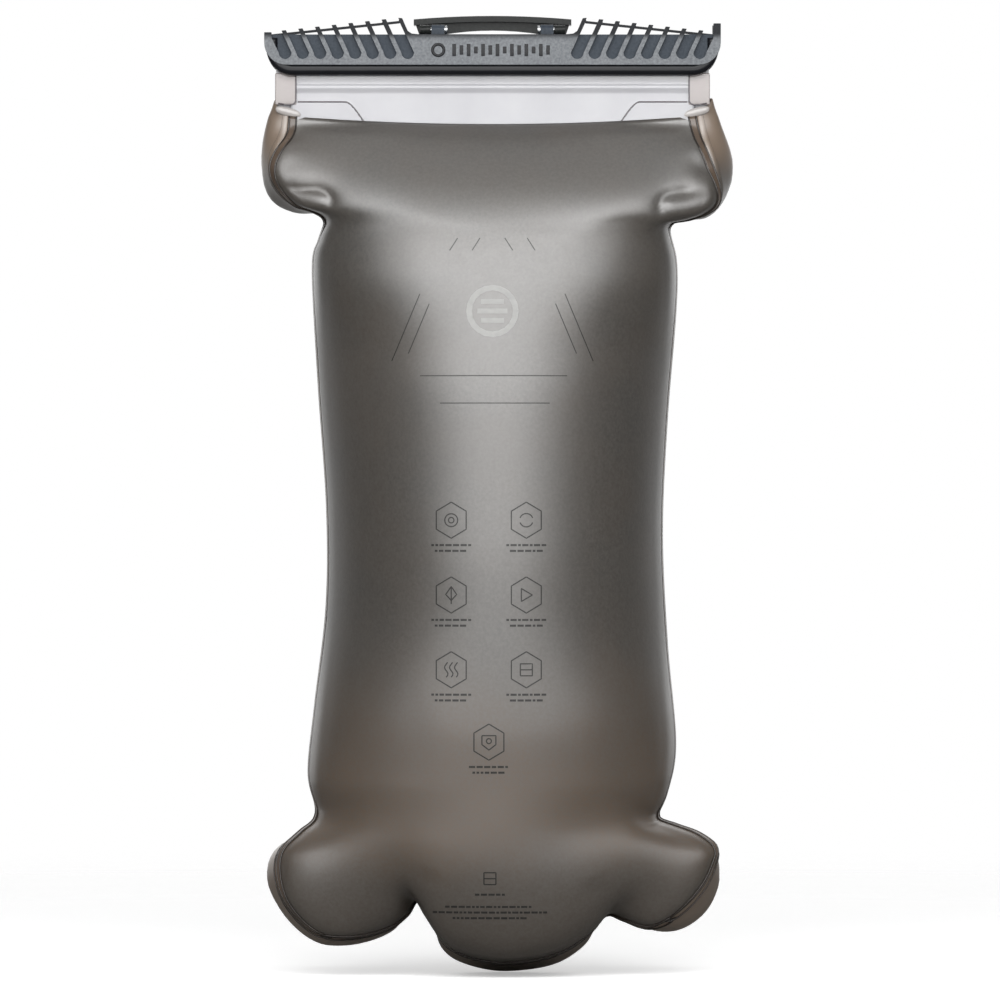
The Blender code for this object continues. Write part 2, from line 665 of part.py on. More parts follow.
def make_port_body():
    """Weld flange, and the housing with its socket, seal groove, valve seat and latch pocket."""
    bore = HOUSING_TUBE_RADIUS + GAP
    flange = [(FLANGE_RADIUS - FLANGE_CHAMFER, FLANGE_PLATE), (FLANGE_RADIUS, FLANGE_EDGE),
              (FLANGE_RADIUS, 0), (NECK_RADIUS, 0), (NECK_RADIUS, NECK_BACK), (bore, NECK_BACK),
              (bore, FLANGE_PLATE)]
    add_screw(place("port_flange", turned_mesh("port_flange", flange, True), "port", PORT_ORIGIN,
                    FACING_BACK), 48)
    drum_back = FLANGE_PLATE + GAP
    groove = RING_SECTION + GAP
    edge = HOUSING_EDGE
    housing = [
        (HOUSING_RADIUS - edge, HOUSING_FRONT), (HOUSING_RADIUS, HOUSING_FRONT - edge),
        (HOUSING_RADIUS, drum_back + edge), (HOUSING_RADIUS - edge, drum_back),
        (HOUSING_TUBE_RADIUS, drum_back), (HOUSING_TUBE_RADIUS, HOUSING_BACK),
        (CHAMBER_RADIUS, HOUSING_BACK), (CHAMBER_RADIUS, SEAT_FACE), (SEAT_RADIUS, SEAT_FACE),
        (SEAT_RADIUS, 0), (SOCKET_RADIUS, 0), (SOCKET_RADIUS, RING_DEPTH - groove),
        (RING_RADIUS + groove, RING_DEPTH - groove), (RING_RADIUS + groove, RING_DEPTH + groove),
        (SOCKET_RADIUS, RING_DEPTH + groove), (SOCKET_RADIUS, HOUSING_FRONT - SOCKET_CHAMFER),
        (SOCKET_RADIUS + SOCKET_CHAMFER, HOUSING_FRONT),
    ]
    body = place("port_housing", turned_mesh("port_housing", housing, True), "port", PORT_ORIGIN, FACING_BACK)
    add_screw(body, 36)
    reach = LATCH_HALF_WIDTH + LATCH_CLEARANCE
    pocket = port_box("latch_pocket", (-reach, LATCH_BACK - LATCH_CLEARANCE, LATCH_POCKET_BOTTOM),
                      (reach, LATCH_FRONT + LATCH_CLEARANCE, HOUSING_RADIUS + CUT_DROP))
    add_boolean(body, place_cutter("latch_pocket", pocket), "DIFFERENCE")


def make_seal_ring(name, radius, section, depth):
    """A round-section rubber ring on the port's axis."""
    bpy.ops.mesh.primitive_torus_add(major_radius=radius, minor_radius=section, major_segments=24,
                                     minor_segments=6)
    holder = bpy.context.object
    mesh = holder.data
    bpy.data.objects.remove(holder)
    place(name, mesh, "seal", Vector(PORT_ORIGIN) + Vector((0, depth, 0)), FACING_BACK)


def make_valve():
    """Poppet with its face seal, and the retainer that guides its stem."""
    nose = [(0, NOSE_TIP), (NOSE_RADIUS - NOSE_ROUNDING, NOSE_TIP), (NOSE_RADIUS, NOSE_TIP - NOSE_ROUNDING),
            (NOSE_RADIUS, POPPET_FACE)]
    groove = [(SEAL_GROOVE_INNER, POPPET_FACE), (SEAL_GROOVE_INNER, SEAL_GROOVE_FLOOR),
              (SEAL_GROOVE_OUTER, SEAL_GROOVE_FLOOR), (SEAL_GROOVE_OUTER, POPPET_FACE)]
    stem = [(POPPET_RADIUS, POPPET_FACE), (POPPET_RADIUS, POPPET_BACK), (STEM_RADIUS, POPPET_BACK),
            (STEM_RADIUS, STEM_END), (0, STEM_END)]
    poppet = nose + groove + stem
    add_screw(place("valve_poppet", turned_mesh("valve_poppet", poppet, False), "valve", PORT_ORIGIN,
                    FACING_BACK), 32)
    make_seal_ring("poppet_seal", FACE_SEAL_RADIUS, FACE_SEAL_SECTION, FACE_SEAL_DEPTH)
    outer = CHAMBER_RADIUS - GAP
    ring = [(outer, RETAINER_FRONT), (outer, RETAINER_BACK), (GUIDE_RADIUS, RETAINER_BACK),
            (GUIDE_RADIUS, RETAINER_FRONT)]
    retainer = place("valve_retainer", turned_mesh("valve_retainer", ring, True), "valve", PORT_ORIGIN,
                     FACING_BACK)
    add_screw(retainer, 32)
    for index in range(FLOW_HOLES):
        angle = math.tau * index / FLOW_HOLES
        spot = (FLOW_CIRCLE * math.cos(angle), PORT_FACE, PORT_HEIGHT + FLOW_CIRCLE * math.sin(angle))
        hole = rod_mesh("flow_hole", FLOW_HOLE_RADIUS, RETAINER_BACK - CUT_LAP,
                        RETAINER_FRONT + CUT_LAP, "Y", 12)
        add_boolean(retainer, place_cutter(f"flow_hole_{index + 1}", hole, location=spot), "DIFFERENCE")


def make_latch():
    """Push button and latch plate in one moulding. Its hole stands high until the button is pressed."""
    centre = (LATCH_HALF_WIDTH - LATCH_CORNER, LATCH_BOTTOM + LATCH_CORNER)
    side = arc(centre, LATCH_CORNER, -90, 0, 4)
    side += [(LATCH_HALF_WIDTH, LATCH_SHOULDER_LOW), (LATCH_NECK, LATCH_SHOULDER_HIGH)]
    side.append((LATCH_NECK, PAD_BOTTOM + PAD_LAP))
    outline = side + [(-x, z) for x, z in reversed(side)]
    outline = [(x, z + PORT_HEIGHT) for x, z in outline]
    plate = prism_mesh("release_button", outline, PORT_FACE + LATCH_BACK, PORT_FACE + LATCH_FRONT)
    button = place("release_button", plate, "button")
    hole = rod_mesh("latch_hole", LATCH_HOLE_RADIUS, PORT_FACE, PORT_FACE + HOUSING_FRONT, "Y")
    spot = (0, 0, PORT_HEIGHT + LATCH_HOLE_RISE)
    add_boolean(button, place_cutter("latch_hole", hole, location=spot), "DIFFERENCE")
    pad = place_cutter("thumb_pad", port_box("thumb_pad", (-PAD_HALF_WIDTH, PAD_BACK, PAD_BOTTOM),
                                             (PAD_HALF_WIDTH, PAD_FRONT, PAD_TOP)))
    add_bevel(pad, PAD_ROUNDING)
    add_boolean(button, pad, "UNION")


def make_spring(name, radius, wire, length, turns, location, rotation):
    """A coil spring about its local Z, from zero to its length."""
    curve = bpy.data.curves.new(name, "CURVE")
    curve.dimensions = "3D"
    curve.bevel_depth = wire
    curve.bevel_resolution = 2
    curve.use_fill_caps = True
    steps = COIL_STEPS * turns
    spline = curve.splines.new("POLY")
    spline.points.add(steps)
    for i, point in enumerate(spline.points):
        angle = math.tau * turns * i / steps
        point.co = (radius * math.cos(angle), radius * math.sin(angle), length * i / steps, 1)
    curve.materials.append(make_material(name, "spring"))
    spring = bpy.data.objects.new(name, curve)
    spring.parent = ROOT
    spring.location = location
    spring.rotation_euler = rotation
    PARTS.objects.link(spring)


def make_springs():
    """Return springs of the valve and of the latch."""
    back = RETAINER_FRONT + GAP + VALVE_WIRE
    front = POPPET_BACK - GAP - VALVE_WIRE
    make_spring("valve_spring", VALVE_COIL, VALVE_WIRE, front - back, VALVE_TURNS,
                (0, PORT_FACE + back, PORT_HEIGHT), FACING_BACK)
    low = LATCH_POCKET_BOTTOM + GAP + LATCH_WIRE
    high = LATCH_BOTTOM - GAP - LATCH_WIRE
    middle = PORT_FACE + (LATCH_BACK + LATCH_FRONT) / 2
    make_spring("button_spring", LATCH_COIL, LATCH_WIRE, high - low, LATCH_TURNS,
                (0, middle, PORT_HEIGHT + low), (0, 0, 0))


def main():
    """Builds every sub-part."""
    make_film()
    make_neck()
    make_channel()
    make_covers()
    make_handle()
    make_pins()
    make_port_body()
    make_seal_ring("port_o_ring", RING_RADIUS, RING_SECTION, RING_DEPTH)
    make_valve()
    make_latch()
    make_springs()


main()
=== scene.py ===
"""Looks of a soft water bag with a slide-off top closure, a carry handle and a hose port.

Every length in the classes below is in millimetres and every height is measured up from
the bag's lowest point. The meshes are made in metres in the frame's own axes: +Z up,
-Y towards the printed front, +X towards the side that the closure slides off.
"""
import logging
import math
from collections.abc import Iterable, Sequence
from dataclasses import dataclass, field
from enum import Enum

import bmesh
import bpy
import numpy as np
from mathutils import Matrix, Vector
from mathutils.bvhtree import BVHTree


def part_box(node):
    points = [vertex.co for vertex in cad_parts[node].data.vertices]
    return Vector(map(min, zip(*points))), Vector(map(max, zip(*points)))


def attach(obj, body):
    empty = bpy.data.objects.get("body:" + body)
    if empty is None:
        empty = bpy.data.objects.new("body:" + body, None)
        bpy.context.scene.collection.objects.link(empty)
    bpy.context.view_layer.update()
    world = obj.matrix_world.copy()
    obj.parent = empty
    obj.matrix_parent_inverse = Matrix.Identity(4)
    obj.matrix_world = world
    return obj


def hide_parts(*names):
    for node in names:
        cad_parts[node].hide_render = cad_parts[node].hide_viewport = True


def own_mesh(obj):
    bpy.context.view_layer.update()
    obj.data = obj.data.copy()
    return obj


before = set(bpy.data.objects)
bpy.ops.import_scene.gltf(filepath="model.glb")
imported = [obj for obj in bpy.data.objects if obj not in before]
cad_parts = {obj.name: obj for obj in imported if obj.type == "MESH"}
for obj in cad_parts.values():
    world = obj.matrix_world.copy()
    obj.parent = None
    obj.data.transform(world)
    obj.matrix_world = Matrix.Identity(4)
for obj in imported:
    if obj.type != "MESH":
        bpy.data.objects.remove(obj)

log = logging.getLogger("water_bag")
MM = 0.001
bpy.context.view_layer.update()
BAG_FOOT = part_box("back_panel")[0].z
Colour = tuple[float, float, float]
Index = dict[tuple[int, int, "Film"], int]


class Film(Enum):
    """The two films of the bag, by the direction in which each one faces along Y."""

    FRONT = -1
    BACK = 1


class Side(Enum):
    """The two ends of the bag across its width."""

    LEFT = -1
    RIGHT = 1


class Body(Enum):
    """The moving bodies that the added pieces ride on."""

    BAG = "bladder"
    SLIDER = "slider"


def at_height(height: float) -> float:
    """Gives the frame's Z in metres of a height in millimetres above the bag's foot."""
    return BAG_FOOT + height * MM


def to_frame(points: np.ndarray) -> np.ndarray:
    """Turns rows of x, y and height in millimetres into the frame's metres.

    Args:
        points: The points, with the three coordinates last.

    Returns:
        The same points in metres.
    """
    moved = np.asarray(points, float) * MM
    moved[..., 2] += BAG_FOOT
    return moved


def smoothstep(low: float, high: float, value: np.ndarray) -> np.ndarray:
    """Goes smoothly from 0 at low to 1 at high."""
    t = np.clip((value - low) / (high - low), 0.0, 1.0)
    return t * t * (3 - 2 * t)


@dataclass(frozen=True)
class SmoothLine:
    """A smooth line through a few chosen points, read by the share of its length."""

    points: tuple[tuple[float, ...], ...]
    steps: int = 14

    def dense(self) -> np.ndarray:
        """Works out many points along the line, as a Catmull-Rom curve.

        Returns:
            One row of coordinates for each point.
        """
        p = np.array(self.points, float)
        p = np.vstack([2 * p[0] - p[1], p, 2 * p[-1] - p[-2]])
        rows = []
        for a, b, c, d in zip(p, p[1:], p[2:], p[3:]):
            for t in np.linspace(0, 1, self.steps, endpoint=False):
                bend = 2 * a - 5 * b + 4 * c - d + t * (3 * (b - c) + d - a)
                rows.append(b + 0.5 * t * (c - a + t * bend))
        rows.append(p[-2])
        return np.array(rows)

    def at(self, shares: np.ndarray) -> np.ndarray:
        """Returns the points at the given shares of the line's length.

        Args:
            shares: Values from 0, the first point, to 1, the last.

        Returns:
            One row of coordinates for each share.
        """
        return along(self.dense(), np.asarray(shares))


def along(line: np.ndarray, shares: np.ndarray) -> np.ndarray:
    """Reads a polyline at shares of its length.

    Args:
        line: The polyline's points, one a row.
        shares: Values from 0 to 1.

    Returns:
        One row of coordinates for each share.
    """
    s = np.concatenate([[0], np.cumsum(np.linalg.norm(np.diff(line[:, :3], axis=0), axis=1))])
    return np.stack([np.interp(shares * s[-1], s, line[:, k]) for k in range(line.shape[1])], -1)


# ---------------------------------------------------------------- node groups and finishes


@dataclass
class Effect:
    """A shader node group under construction, with named sockets."""

    name: str
    inputs: dict[str, float]
    outputs: tuple[str, ...]

    def __post_init__(self) -> None:
        """Makes the group and its sockets."""
        self.tree = bpy.data.node_groups.new(self.name, "ShaderNodeTree")
        for title, value in self.inputs.items():
            socket = self.tree.interface.new_socket(title, in_out="INPUT", socket_type="NodeSocketFloat")
            socket.default_value = value
        for title in self.outputs:
            self.tree.interface.new_socket(title, in_out="OUTPUT", socket_type="NodeSocketFloat")
        self.source = self.tree.nodes.new("NodeGroupInput").outputs
        self.sink = self.tree.nodes.new("NodeGroupOutput").inputs

    def node(self, kind: str, **settings: object) -> bpy.types.Node:
        """Adds a node with the given settings.

        Args:
            kind: The node's type.
            settings: Its properties, by name.

        Returns:
            The new node.
        """
        made = self.tree.nodes.new(kind)
        for key, value in settings.items():
            setattr(made, key, value)
        return made

    def link(self, start: bpy.types.NodeSocket, end: bpy.types.NodeSocket) -> None:
        """Joins two sockets."""
        self.tree.links.new(start, end)

    def maths(self, operation: str, a: object, b: object) -> bpy.types.NodeSocket:
        """Adds a Math node.

        Args:
            operation: The node's operation.
            a: A socket or a number.
            b: A socket or a number.

        Returns:
            The node's output.
        """
        node = self.node("ShaderNodeMath", operation=operation)
        for socket, value in zip(node.inputs, (a, b)):
            if isinstance(value, bpy.types.NodeSocket):
                self.link(value, socket)
            else:
                socket.default_value = value
        return node.outputs[0]


class Effects:
    """The node groups that several materials share, each built once."""

    def __init__(self) -> None:
        """Builds every group."""
        self.grain = self.build_grain()
        self.clouds = self.build_clouds()
        self.wear = self.build_wear()
        self.level = self.build_level()

    @staticmethod
    def build_grain() -> bpy.types.NodeTree:
        """Fine moulded or calendered grain, in cells per metre.

        Returns:
            The node group.
        """
        fx = Effect("surface_grain", {"Fineness": 900.0, "Coarseness": 0.3}, ("Height", "Mottle"))
        where = fx.node("ShaderNodeTexCoord").outputs["Object"]
        fine = fx.node("ShaderNodeTexNoise")
        fine.inputs["Detail"].default_value = 3
        broad = fx.node("ShaderNodeTexNoise")
        broad.inputs["Detail"].default_value = 2
        fx.link(where, fine.inputs["Vector"])
        fx.link(where, broad.inputs["Vector"])
        fx.link(fx.source["Fineness"], fine.inputs["Scale"])
        fx.link(fx.maths("MULTIPLY", fx.source["Fineness"], 0.31), broad.inputs["Scale"])
        coarse = fx.maths("MULTIPLY", broad.outputs[0], fx.source["Coarseness"])
        fx.link(fx.maths("ADD", fine.outputs[0], coarse), fx.sink["Height"])
        fx.link(broad.outputs[0], fx.sink["Mottle"])
        return fx.tree

    @staticmethod
    def build_clouds() -> bpy.types.NodeTree:
        """Slow variation over centimetres, from 0 to 1.

        Returns:
            The node group.
        """
        fx = Effect("slow_clouds", {"Scale": 14.0, "Contrast": 2.0}, ("Cloud",))
        noise = fx.node("ShaderNodeTexNoise")
        noise.inputs["Detail"].default_value = 4
        noise.inputs["Roughness"].default_value = 0.55
        fx.link(fx.node("ShaderNodeTexCoord").outputs["Object"], noise.inputs["Vector"])
        fx.link(fx.source["Scale"], noise.inputs["Scale"])
        centred = fx.maths("SUBTRACT", noise.outputs[0], 0.5)
        spread = fx.maths("MULTIPLY", centred, fx.source["Contrast"])
        limited = fx.node("ShaderNodeClamp")
        fx.link(fx.maths("ADD", spread, 0.5), limited.inputs["Value"])
        fx.link(limited.outputs[0], fx.sink["Cloud"])
        return fx.tree

    @staticmethod
    def build_wear() -> bpy.types.NodeTree:
        """Edges rubbed paler: 1 on sharp convex edges, broken up by noise.

        Returns:
            The node group.
        """
        fx = Effect("edge_wear", {"Low": 0.52, "High": 0.60, "Patchiness": 60.0}, ("Mask",))
        ramp = fx.node("ShaderNodeMapRange")
        fx.link(fx.node("ShaderNodeNewGeometry").outputs["Pointiness"], ramp.inputs["Value"])
        fx.link(fx.source["Low"], ramp.inputs["From Min"])
        fx.link(fx.source["High"], ramp.inputs["From Max"])
        noise = fx.node("ShaderNodeTexNoise")
        fx.link(fx.node("ShaderNodeTexCoord").outputs["Object"], noise.inputs["Vector"])
        fx.link(fx.source["Patchiness"], noise.inputs["Scale"])
        fx.link(fx.maths("MULTIPLY", ramp.outputs[0], noise.outputs[0]), fx.sink["Mask"])
        return fx.tree

    @staticmethod
    def build_level() -> bpy.types.NodeTree:
        """A mask that goes from 0 to 1 between two levels of the piece's own Z, in metres.

        Returns:
            The node group.
        """
        fx = Effect("between_levels", {"From": 0.0, "To": 1.0, "Waver": 0.0}, ("Mask",))
        where = fx.node("ShaderNodeTexCoord").outputs["Object"]
        split = fx.node("ShaderNodeSeparateXYZ")
        fx.link(where, split.inputs[0])
        noise = fx.node("ShaderNodeTexNoise")
        noise.inputs["Scale"].default_value = 22
        fx.link(where, noise.inputs["Vector"])
        shift = fx.maths("MULTIPLY", fx.maths("SUBTRACT", noise.outputs[0], 0.5), fx.source["Waver"])
        ramp = fx.node("ShaderNodeMapRange", interpolation_type="SMOOTHSTEP")
        fx.link(fx.maths("ADD", split.outputs["Z"], shift), ramp.inputs["Value"])
        fx.link(fx.source["From"], ramp.inputs["From Min"])
        fx.link(fx.source["To"], ramp.inputs["From Max"])
        fx.link(ramp.outputs[0], fx.sink["Mask"])
        return fx.tree


EFFECTS = Effects()


class Finish:
    """A material being put together round one Principled shader."""

    def __init__(self, name: str) -> None:
        """Makes the empty material.

        Args:
            name: The material's name.
        """
        self.material = bpy.data.materials.new(name)
        self.material.use_nodes = True
        self.tree = self.material.node_tree
        self.shader = self.tree.nodes["Principled BSDF"]

    def set(self, **values: object) -> "Finish":
        """Sets constants on the shader's own sockets.

        Args:
            values: The values by socket, with _ for each space in its name.

        Returns:
            This finish.
        """
        for key, value in values.items():
            self.shader.inputs[key.replace("_", " ")].default_value = value
        return self

    def effect(self, group: bpy.types.NodeTree, **values: float) -> bpy.types.NodeOutputs:
        """Places a shared group with this material's own values.

        Args:
            group: The node group.
            values: Its inputs, by name.

        Returns:
            The placed group's outputs.
        """
        node = self.tree.nodes.new("ShaderNodeGroup")
        node.node_tree = group
        for key, value in values.items():
            node.inputs[key].default_value = value
        return node.outputs

    def attribute(self, name: str) -> bpy.types.NodeSocket:
        """Reads a value that the mesh carries at its points.

        Args:
            name: The attribute's name.

        Returns:
            The value's socket.
        """
        node = self.tree.nodes.new("ShaderNodeAttribute")
        node.attribute_name = name
        return node.outputs["Fac"]

    def mix(self, share: bpy.types.NodeSocket, a: object, b: object) -> bpy.types.NodeSocket:
        """Mixes two colours.

        Args:
            share: How much of b shows, from 0 to 1.
            a: A colour or a socket.
            b: A colour or a socket.

        Returns:
            The mixed colour.
        """
        node = self.tree.nodes.new("ShaderNodeMix")
        node.data_type = "RGBA"
        self.tree.links.new(share, node.inputs["Factor"])
        for socket, value in ((node.inputs[6], a), (node.inputs[7], b)):
            if isinstance(value, bpy.types.NodeSocket):
                self.tree.links.new(value, socket)
            else:
                socket.default_value = (*value, 1)
        return node.outputs[2]

    def spread(self, value: bpy.types.NodeSocket, low: float, high: float) -> bpy.types.NodeSocket:
        """Stretches a 0 to 1 value between two others.

        Args:
            value: The value's socket.
            low: What 0 becomes.
            high: What 1 becomes.

        Returns:
            The stretched value.
        """
        node = self.tree.nodes.new("ShaderNodeMapRange")
        node.inputs["To Min"].default_value = low
        node.inputs["To Max"].default_value = high
        self.tree.links.new(value, node.inputs["Value"])
        return node.outputs[0]

    def scale(self, value: bpy.types.NodeSocket, by: float) -> bpy.types.NodeSocket:
        """Multiplies a value by a number.

        Args:
            value: The value's socket.
            by: The number.

        Returns:
            The product.
        """
        node = self.tree.nodes.new("ShaderNodeMath")
        node.operation = "MULTIPLY"
        node.inputs[1].default_value = by
        self.tree.links.new(value, node.inputs[0])
        return node.outputs[0]

    def feed(self, socket: str, value: bpy.types.NodeSocket) -> None:
        """Links a value to one of the shader's sockets."""
        self.tree.links.new(value, self.shader.inputs[socket])

    def bump(self, height: bpy.types.NodeSocket, strength: float, depth: float) -> None:
        """Feeds a height to the shader's normal.

        Args:
            height: The height's socket.
            strength: How much of the bump shows.
            depth: The bump's depth in millimetres.
        """
        node = self.tree.nodes.new("ShaderNodeBump")
        node.inputs["Strength"].default_value = strength
        node.inputs["Distance"].default_value = depth * MM
        self.tree.links.new(height, node.inputs["Height"])
        self.feed("Normal", node.outputs[0])


@dataclass(frozen=True)
class SmokyFilm:
    """Satin smoky film: grey above, browner near the foot as painted light through the film, darker on the
    lobes as painted shade, and pale brown where one layer shows, that layer's tint with painted backlight.
    """

    name: str = "smoky_film"
    grey: Colour = (0.042, 0.0385, 0.034)
    deep: Colour = (0.033, 0.030, 0.026)
    # brown: the tone of painted light shining through the film, laid on towards the foot and in faint
    # random patches
    brown: Colour = (0.092, 0.060, 0.036)
    # single_layer: the single layer's own tint together with painted light shining through it from behind
    single_layer: Colour = (0.170, 0.126, 0.092)
    pale_speck: Colour = (0.070, 0.064, 0.056)
    roughness: tuple[float, float] = (0.38, 0.46)
    # Heights between which painted light through the film turns it brown towards the foot
    painted_backlight_heights: tuple[float, float] = (150.0, 62.0)
    # Heights between which painted shade darkens the lobes at the foot
    painted_shade_heights: tuple[float, float] = (64.0, 34.0)

    def material(self) -> bpy.types.Material:
        """Builds the film's material.

        Returns:
            The material.
        """
        f = Finish(self.name)
        cloud = f.effect(EFFECTS.clouds, Scale=11.0, Contrast=2.2)["Cloud"]
        silt = f.effect(EFFECTS.clouds, Scale=26.0, Contrast=3.0)["Cloud"]
        speck = f.effect(EFFECTS.clouds, Scale=820.0, Contrast=3.0)["Cloud"]
        grain = f.effect(EFFECTS.grain, Fineness=1500.0, Coarseness=0.6)
        # Browner towards the foot: painted light shining through the film.
        high, low = self.painted_backlight_heights
        foot = f.effect(EFFECTS.level, From=at_height(high), To=at_height(low), Waver=0.05)["Mask"]
        tone = f.mix(cloud, self.deep, self.grey)
        tone = f.mix(f.scale(foot, 0.85), tone, self.brown)
        tone = f.mix(f.scale(silt, 0.18), tone, self.brown)
        # Darker on the lobes at the foot: painted shade.
        high, low = self.painted_shade_heights
        lobes = f.effect(EFFECTS.level, From=at_height(high), To=at_height(low), Waver=0.03)["Mask"]
        tone = f.mix(f.scale(lobes, 0.75), tone, self.deep)
        tone = f.mix(f.spread(speck, 0.0, 0.65), tone, self.pale_speck)
        # Paler brown where one layer shows: part that layer's own tint, part painted light from behind.
        f.feed("Base Color", f.mix(f.attribute("single_layer"), tone, self.single_layer))
        f.feed("Roughness", f.spread(grain["Mottle"], *self.roughness))
        f.bump(grain["Height"], 0.3, 0.06)
        f.set(IOR=1.6, Specular_IOR_Level=1.0, Coat_Weight=0.2, Coat_Roughness=0.3)
        return f.material


@dataclass(frozen=True)
class WeldedFilm:
    """The pressed weld: two layers fused, glossier and browner than the film."""

    name: str = "weld"
    colour: Colour = (0.062, 0.044, 0.032)
    edge: Colour = (0.115, 0.083, 0.060)

    def material(self) -> bpy.types.Material:
        """Builds the weld's material.

        Returns:
            The material.
        """
        f = Finish(self.name)
        cloud = f.effect(EFFECTS.clouds, Scale=60.0, Contrast=2.5)["Cloud"]
        grain = f.effect(EFFECTS.grain, Fineness=1100.0, Coarseness=0.5)
        f.feed("Base Color", f.mix(cloud, self.colour, self.edge))
        f.feed("Roughness", f.spread(grain["Mottle"], 0.24, 0.36))
        f.bump(grain["Height"], 0.25, 0.05)
        f.set(Coat_Weight=0.2, Coat_Roughness=0.2)
        return f.material


@dataclass(frozen=True)
class ClearPlastic:
    """Clear flexible plastic, slightly milky, tinted where it is thick."""

    name: str
    tint: Colour
    shade: Colour
    opacity: float
    roughness: tuple[float, float] = (0.07, 0.16)

    def material(self) -> bpy.types.Material:
        """Builds the clear material.

        Returns:
            The material.
        """
        f = Finish(self.name)
        cloud = f.effect(EFFECTS.clouds, Scale=34.0, Contrast=2.0)["Cloud"]
        grain = f.effect(EFFECTS.grain, Fineness=420.0, Coarseness=0.8)
        f.feed("Base Color", f.mix(cloud, self.tint, self.shade))
        f.feed("Roughness", f.spread(grain["Mottle"], *self.roughness))
        f.bump(grain["Height"], 0.12, 0.04)
        f.set(Alpha=self.opacity, Specular_IOR_Level=0.6, Coat_Weight=0.5, Coat_Roughness=0.06)
        return f.material


@dataclass(frozen=True)
class MouldedPlastic:
    """Injection-moulded plastic with a fine spark grain, paler rubbed edges and, where asked, painted shade
    above a given height.
    """

    name: str
    colour: Colour
    second: Colour
    worn: Colour
    roughness: tuple[float, float] = (0.34, 0.50)
    fineness: float = 1300.0
    grain_strength: float = 0.45
    # Height above which the tone turns dark as painted shade, in the colour dark; 0 leaves it out
    painted_shade_above: float = 0.0
    dark: Colour = (0.009, 0.010, 0.012)
    shine: float = 0.1
    speckle: float = 0.35

    def material(self) -> bpy.types.Material:
        """Builds the plastic's material.

        Returns:
            The material.
        """
        f = Finish(self.name)
        cloud = f.effect(EFFECTS.clouds, Scale=80.0, Contrast=2.4)["Cloud"]
        speck = f.effect(EFFECTS.clouds, Scale=950.0, Contrast=3.0)["Cloud"]
        grain = f.effect(EFFECTS.grain, Fineness=self.fineness, Coarseness=0.5)
        wear = f.effect(EFFECTS.wear, Low=0.56, High=0.72, Patchiness=220.0)["Mask"]
        tone = f.mix(cloud, self.colour, self.second)
        tone = f.mix(f.scale(speck, self.speckle), tone, self.worn)
        # Painted shade: the piece goes dark above the given height.
        if self.painted_shade_above:
            top = at_height(self.painted_shade_above)
            upper = f.effect(EFFECTS.level, From=top - 2.8 * MM, To=top + 0.5 * MM)["Mask"]
            tone = f.mix(f.scale(wear, 0.25), tone, self.worn)
            tone = f.mix(f.scale(upper, 0.95), tone, self.dark)
        else:
            tone = f.mix(f.scale(wear, 0.25), tone, self.worn)
        f.feed("Base Color", tone)
        f.feed("Roughness", f.spread(grain["Mottle"], *self.roughness))
        f.bump(grain["Height"], self.grain_strength, 0.06)
        f.set(Specular_IOR_Level=self.shine)
        return f.material


@dataclass(frozen=True)
class SpringSteel:
    """Bright drawn steel with faint draw marks."""

    name: str = "steel"
    colour: Colour = (0.62, 0.63, 0.64)
    second: Colour = (0.48, 0.49, 0.50)

    def material(self) -> bpy.types.Material:
        """Builds the steel's material.

        Returns:
            The material.
        """
        f = Finish(self.name)
        cloud = f.effect(EFFECTS.clouds, Scale=300.0, Contrast=2.0)["Cloud"]
        grain = f.effect(EFFECTS.grain, Fineness=2600.0, Coarseness=0.3)
        f.feed("Base Color", f.mix(cloud, self.colour, self.second))
        f.feed("Roughness", f.spread(grain["Mottle"], 0.20, 0.34))
        f.bump(grain["Height"], 0.15, 0.02)
        f.set(Metallic=1.0)
        return f.material


@dataclass(frozen=True)
class SealRubber:
    """Matt black seal rubber with a trace of bloom."""

    name: str = "seal_rubber"
    colour: Colour = (0.012, 0.012, 0.013)
    bloom: Colour = (0.05, 0.05, 0.052)

    def material(self) -> bpy.types.Material:
        """Builds the rubber's material.

        Returns:
            The material.
        """
        f = Finish(self.name)
        cloud = f.effect(EFFECTS.clouds, Scale=240.0, Contrast=2.6)["Cloud"]
        grain = f.effect(EFFECTS.grain, Fineness=2200.0, Coarseness=0.4)
        f.feed("Base Color", f.mix(f.scale(cloud, 0.6), self.colour, self.bloom))
        f.feed("Roughness", f.spread(grain["Mottle"], 0.55, 0.75))
        f.bump(grain["Height"], 0.3, 0.03)
        return f.material


@dataclass(frozen=True)
class PrintInk:
    """Thin screen-printed ink, slightly broken up like a worn print."""

    name: str
    colour: Colour
    thin: Colour
    roughness: tuple[float, float] = (0.38, 0.5)

    def material(self) -> bpy.types.Material:
        """Builds the ink's material.

        Returns:
            The material.
        """
        f = Finish(self.name)
        cloud = f.effect(EFFECTS.clouds, Scale=420.0, Contrast=3.0)["Cloud"]
        grain = f.effect(EFFECTS.grain, Fineness=1500.0, Coarseness=0.5)
        f.feed("Base Color", f.mix(cloud, self.colour, self.thin))
        f.feed("Roughness", f.spread(grain["Mottle"], *self.roughness))
        f.bump(grain["Height"], 0.2, 0.03)
        return f.material


# ---------------------------------------------------------------- making pieces


